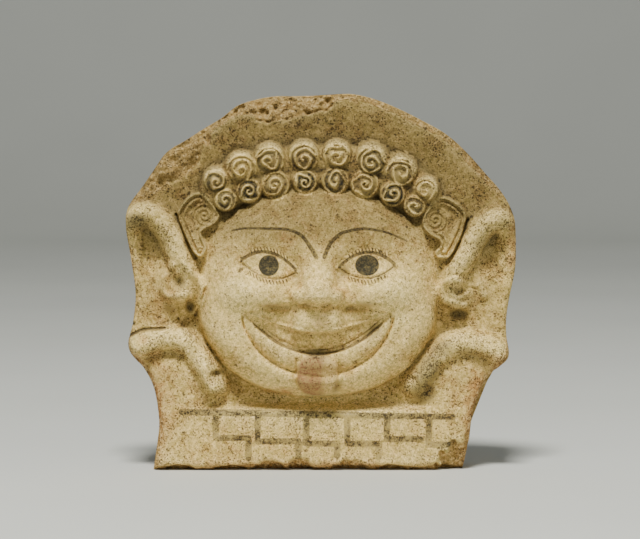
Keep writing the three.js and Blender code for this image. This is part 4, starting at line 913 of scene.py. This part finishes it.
def makeClay(pits):
    finish = clayFinish
    material = bpy.data.materials.new("firedClay")
    material.use_nodes = True
    tree = material.node_tree
    tree.nodes.clear()
    where = makeNode(tree, "ShaderNodeTexCoord").outputs["Object"]

    def mask(name):
        return makeNode(tree, "ShaderNodeAttribute", attribute_name=name).outputs["Fac"]

    def multiply(a, b):
        return calc(tree, "MULTIPLY", a, b)

    def scaled(value, by, plus):
        return calc(tree, "MULTIPLY_ADD", value, by, plus)

    def patchy(name, noise, *limits):  # a mask, worn through by a noise
        return multiply(mask(name), remap(tree, noise, *limits))

    def layered(colour, *layers):  # share and colour of each layer, from below
        for share, tone in layers:
            colour = mixColour(tree, share, colour, finish[tone])
        return colour

    broadNoise, patchNoise, fineNoise, dustNoise = (noiseValue(tree, where, *settings) for settings in (
        (34, 4, 0.6), (9, 6, 0.7), (2.2, 5, 0.75), (0.85, 3, 0.8)))
    wear = calc(tree, "ADD", multiply(fineNoise, 0.55), multiply(dustNoise, 0.45))
    hollow = mask("hollow")

    # slip: painted highlight on what stands out, tan in patches, painted light and worn slip in the pale patches,
    # painted shade (yellow-green) in the hollows
    pale = scaled(hollow, -0.8, scaled(broadNoise, 0.9, -0.3))
    sunk = scaled(hollow, 1.0, scaled(patchNoise, 0.6, -0.3))
    colour = layered(finish["slip"], (remap(tree, patchNoise, 0.44, 0.64, 0, 0.8), "slipTan"),
                     (remap(tree, pale, 0.1, 0.62, 0, 0.75), "slipHighlight"),
                     (patchy("rubbedAndLit", patchNoise, 0.36, 0.56, 0.45, 1.0), "slipLitAndWorn"),
                     (remap(tree, sunk, 0.08, 0.9, 0, 0.6), "paintedHollowShade"))
    mottle = multiply(remap(tree, fineNoise, 0.3, 0.7, 0.62, 1.24), remap(tree, dustNoise, 0.32, 0.68, 0.72, 1.2))
    grey = makeNode(tree, "ShaderNodeCombineColor", {0: mottle, 1: mottle, 2: calc(tree, "POWER", mottle, 1.5)})
    colour = mixColour(tree, 1.0, colour, grey.outputs[0], "MULTIPLY")

    # paint, rust, soot and painted shade, worn through in patches
    def painted(distance, low, high, least, strength):
        stroke = remap(tree, scaled(dustNoise, 0.5, calc(tree, "SUBTRACT", distance, 0.25)), -0.3, 0.35, 1, 0)
        return multiply(stroke, remap(tree, wear, low, high, least, strength))

    # soot and dark paint, with painted shade under the snakes, below the cheeks and in hollows
    stainsAndShade = multiply(remap(tree, mask("stainAndShade"), 0.05, 0.9), remap(tree, wear, 0.42, 0.58, 0.18, 1.0))
    waver = scaled(patchNoise, 1.4, scaled(fineNoise, 1.4, -1.4))
    faded = remap(tree, patchNoise, 0.36, 0.58, 0.4, 0.95)
    band = painted(calc(tree, "ADD", mask("broadStroke"), waver), 0.42, 0.54, 0.16, faded)
    hair = remap(tree, calc(tree, "PINGPONG", mask("lashCount"), 0.5), 0.12, 0.26, 1, 0)
    lashShare = multiply(remap(tree, mask("lashBand"), -0.3, 0.2, 1, 0), hair)
    colour = layered(colour, (patchy("red", wear, 0.42, 0.56, 0.35, 0.95), "red"),
                     (patchy("rust", patchNoise, 0.4, 0.6, 0.3, 0.8), "clayOrange"), (stainsAndShade, "stainAndShade"),
                     (patchy("curlPaint", wear, 0.38, 0.56, 0.25, 0.95), "curlPaint"), (band, "meander"),
                     (painted(mask("pupil"), 0.36, 0.54, 0.65, 1.0), "iris"),
                     (painted(mask("fineStroke"), 0.38, 0.56, 0.3, 0.92), "paint"),
                     (multiply(lashShare, remap(tree, wear, 0.36, 0.54, 0.3, 0.9)), "paint"))

    # bare clay in the breaks and along the worn edges
    bare = remap(tree, calc(tree, "ADD", mask("bare"), scaled(patchNoise, 0.8, -0.4)), 0.3, 0.7)
    orange = remap(tree, noiseValue(tree, where, 14, 4, 0.65), 0.5, 0.66, 0, 0.35)
    orange = calc(tree, "MAXIMUM", orange, multiply(mask("rust"), 0.9))
    sandy = remap(tree, fineNoise, 0.42, 0.66, 0, 0.85)
    clay = layered(finish["clay"], (orange, "clayOrange"), (sandy, "claySandy"))
    clay = mixColour(tree, 1.0, clay, grey.outputs[0], "MULTIPLY")
    colour = layered(mixColour(tree, bare, colour, clay), (multiply(mask("cracked"), 0.9), "speck"))

    # specks and pits, thicker in some patches, then dirt with painted shade in the hollows, and painted shade on
    # the upper part
    density = multiply(remap(tree, patchNoise, 0.34, 0.64, 0.3, 1.3), mask("flecked"))
    specks = remap(tree, scaled(density, 0.13, noiseValue(tree, where, 0.9, 2, 0.6)), 0.66, 0.71)
    for size, share in finish["pits"]:
        group = makeNode(tree, "ShaderNodeGroup", node_tree=pits)
        tree.links.new(where, group.inputs["Vector"])
        group.inputs["Size"].default_value = size
        tree.links.new(multiply(density, share), group.inputs["Share"])
        specks = calc(tree, "MAXIMUM", specks, group.outputs["Mask"])
    # dirt and painted shade, deepest in the hollows
    grimeAndShade = multiply(remap(tree, sunk, 0.4, 1.1), remap(tree, fineNoise, 0.44, 0.62, 0, 0.4))
    colour = layered(colour, (multiply(specks, 0.8), "speck"), (grimeAndShade, "grimeAndShade"))
    # painted shade over the upper part and the sides
    darker = scaled(calc(tree, "SUBTRACT", broadNoise, 0.5), 0.5, mask("shade"))
    colour = mixColour(tree, darker, colour, finish["shade"], "MULTIPLY")

    height = calc(tree, "ADD", multiply(fineNoise, 0.6), multiply(dustNoise, 0.45))
    height = calc(tree, "SUBTRACT", height, multiply(specks, 0.5))
    height = calc(tree, "ADD", height, multiply(multiply(bare, noiseValue(tree, where, 3.2, 6, 0.75)), 2.4))
    relief = makeNode(tree, "ShaderNodeBump", {"Height": height, "Strength": finish["bumpStrength"],
                                               "Distance": finish["bumpDistance"]})
    surface = makeNode(tree, "ShaderNodeBsdfPrincipled", {
        "Base Color": colour, "Normal": relief.outputs[0], "Specular IOR Level": finish["specular"],
        "Roughness": remap(tree, fineNoise, 0.3, 0.7, *finish["roughness"])})
    makeNode(tree, "ShaderNodeOutputMaterial", {0: surface.outputs[0]})
    return material


antefix = makeAntefix()
antefix.data.materials.clear()
antefix.data.materials.append(makeClay(makeSpeckGroup()))
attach(antefix, "root")
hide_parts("antefix")
print("antefix done:", sum(len(face.vertices) - 2 for face in antefix.data.polygons), "triangles")

# Studio: a pale seamless floor, soft light from above and in front
studio = {
    "floor": srgb(194, 195, 185), "floorSize": 6.0, "backdropRise": 2.2, "sweep": 0.9, "floorRoughness": 0.7,
    "lights": [   # name, place, size, power
        ("keyLight", (-0.12, -0.9, 1.9), (0.5, 0.4), 74), ("fillLight", (0.7, -1.9, 0.9), (1.2, 1.2), 5),
    ],
    "lightTarget": (0, 0, 0.1), "sky": (0.9, 0.95, 1.0, 1), "skyStrength": 0.25,
    "cameraDistance": 1.9, "elevation": 4.0, "lookAt": (-0.68, 0, 113.7), "viewWidth": 361.7, "sensor": 36,
}


def makeFloor():
    pickObjects()
    bpy.ops.mesh.primitive_plane_add(size=studio["floorSize"], location=(0, 0, 0))
    floor = bpy.context.object
    floor.name = "studioFloor"
    startEdit("EDGE")
    bpy.ops.object.mode_set(mode="OBJECT")
    for edge in floor.data.edges:
        edge.select = all(floor.data.vertices[i].co.y > 0.1 for i in edge.vertices)
    bpy.ops.object.mode_set(mode="EDIT")
    bpy.ops.mesh.extrude_edges_move(TRANSFORM_OT_translate={"value": (0, 0, studio["backdropRise"])})
    endEdit()
    curve = floor.modifiers.new("sweep", "BEVEL")
    curve.width = studio["sweep"]
    curve.segments = 24
    bpy.ops.object.modifier_apply(modifier=curve.name)
    bpy.ops.object.shade_smooth()
    material = bpy.data.materials.new("paleFloor")
    material.use_nodes = True
    tree = material.node_tree
    surface = tree.nodes["Principled BSDF"]
    where = makeNode(tree, "ShaderNodeTexCoord").outputs["Object"]
    tone = remap(tree, noiseValue(tree, where, 300, 2), 0.3, 0.7)
    tree.links.new(mixColour(tree, tone, studio["floor"], [c * 0.96 for c in studio["floor"]]),
                   surface.inputs["Base Color"])
    surface.inputs["Roughness"].default_value = studio["floorRoughness"]
    floor.data.materials.append(material)


def areaLight(name, place, size, power):
    bpy.ops.object.light_add(type="AREA", location=place)
    light = bpy.context.object
    light.name = name
    light.data.shape = "RECTANGLE"
    light.data.size, light.data.size_y = size
    light.data.energy = power
    aim = np.array(studio["lightTarget"]) - np.array(place)
    light.rotation_euler = (math.atan2(math.hypot(aim[0], aim[1]), -aim[2]), 0, math.atan2(-aim[0], aim[1]))


def makeWorld():
    world = bpy.data.worlds.new("studioWorld")
    world.use_nodes = True
    sky = world.node_tree.nodes["Background"]
    sky.inputs[0].default_value = studio["sky"]
    sky.inputs[1].default_value = studio["skyStrength"]
    bpy.context.scene.world = world


def makeCamera():
    elevation, distance = math.radians(studio["elevation"]), studio["cameraDistance"]
    place = np.array(studio["lookAt"]) * mm + distance * np.array([0, -math.cos(elevation), math.sin(elevation)])
    bpy.ops.object.camera_add(location=place, rotation=(math.pi / 2 - elevation, 0, 0))
    camera = bpy.context.object
    camera.data.sensor_width = studio["sensor"]
    camera.data.lens = studio["sensor"] * distance / (studio["viewWidth"] * mm)
    camera.data.dof.use_dof = False
    bpy.context.scene.camera = camera


makeFloor()
for light in studio["lights"]:
    areaLight(*light)
makeWorld()
makeCamera()
print("studio done")
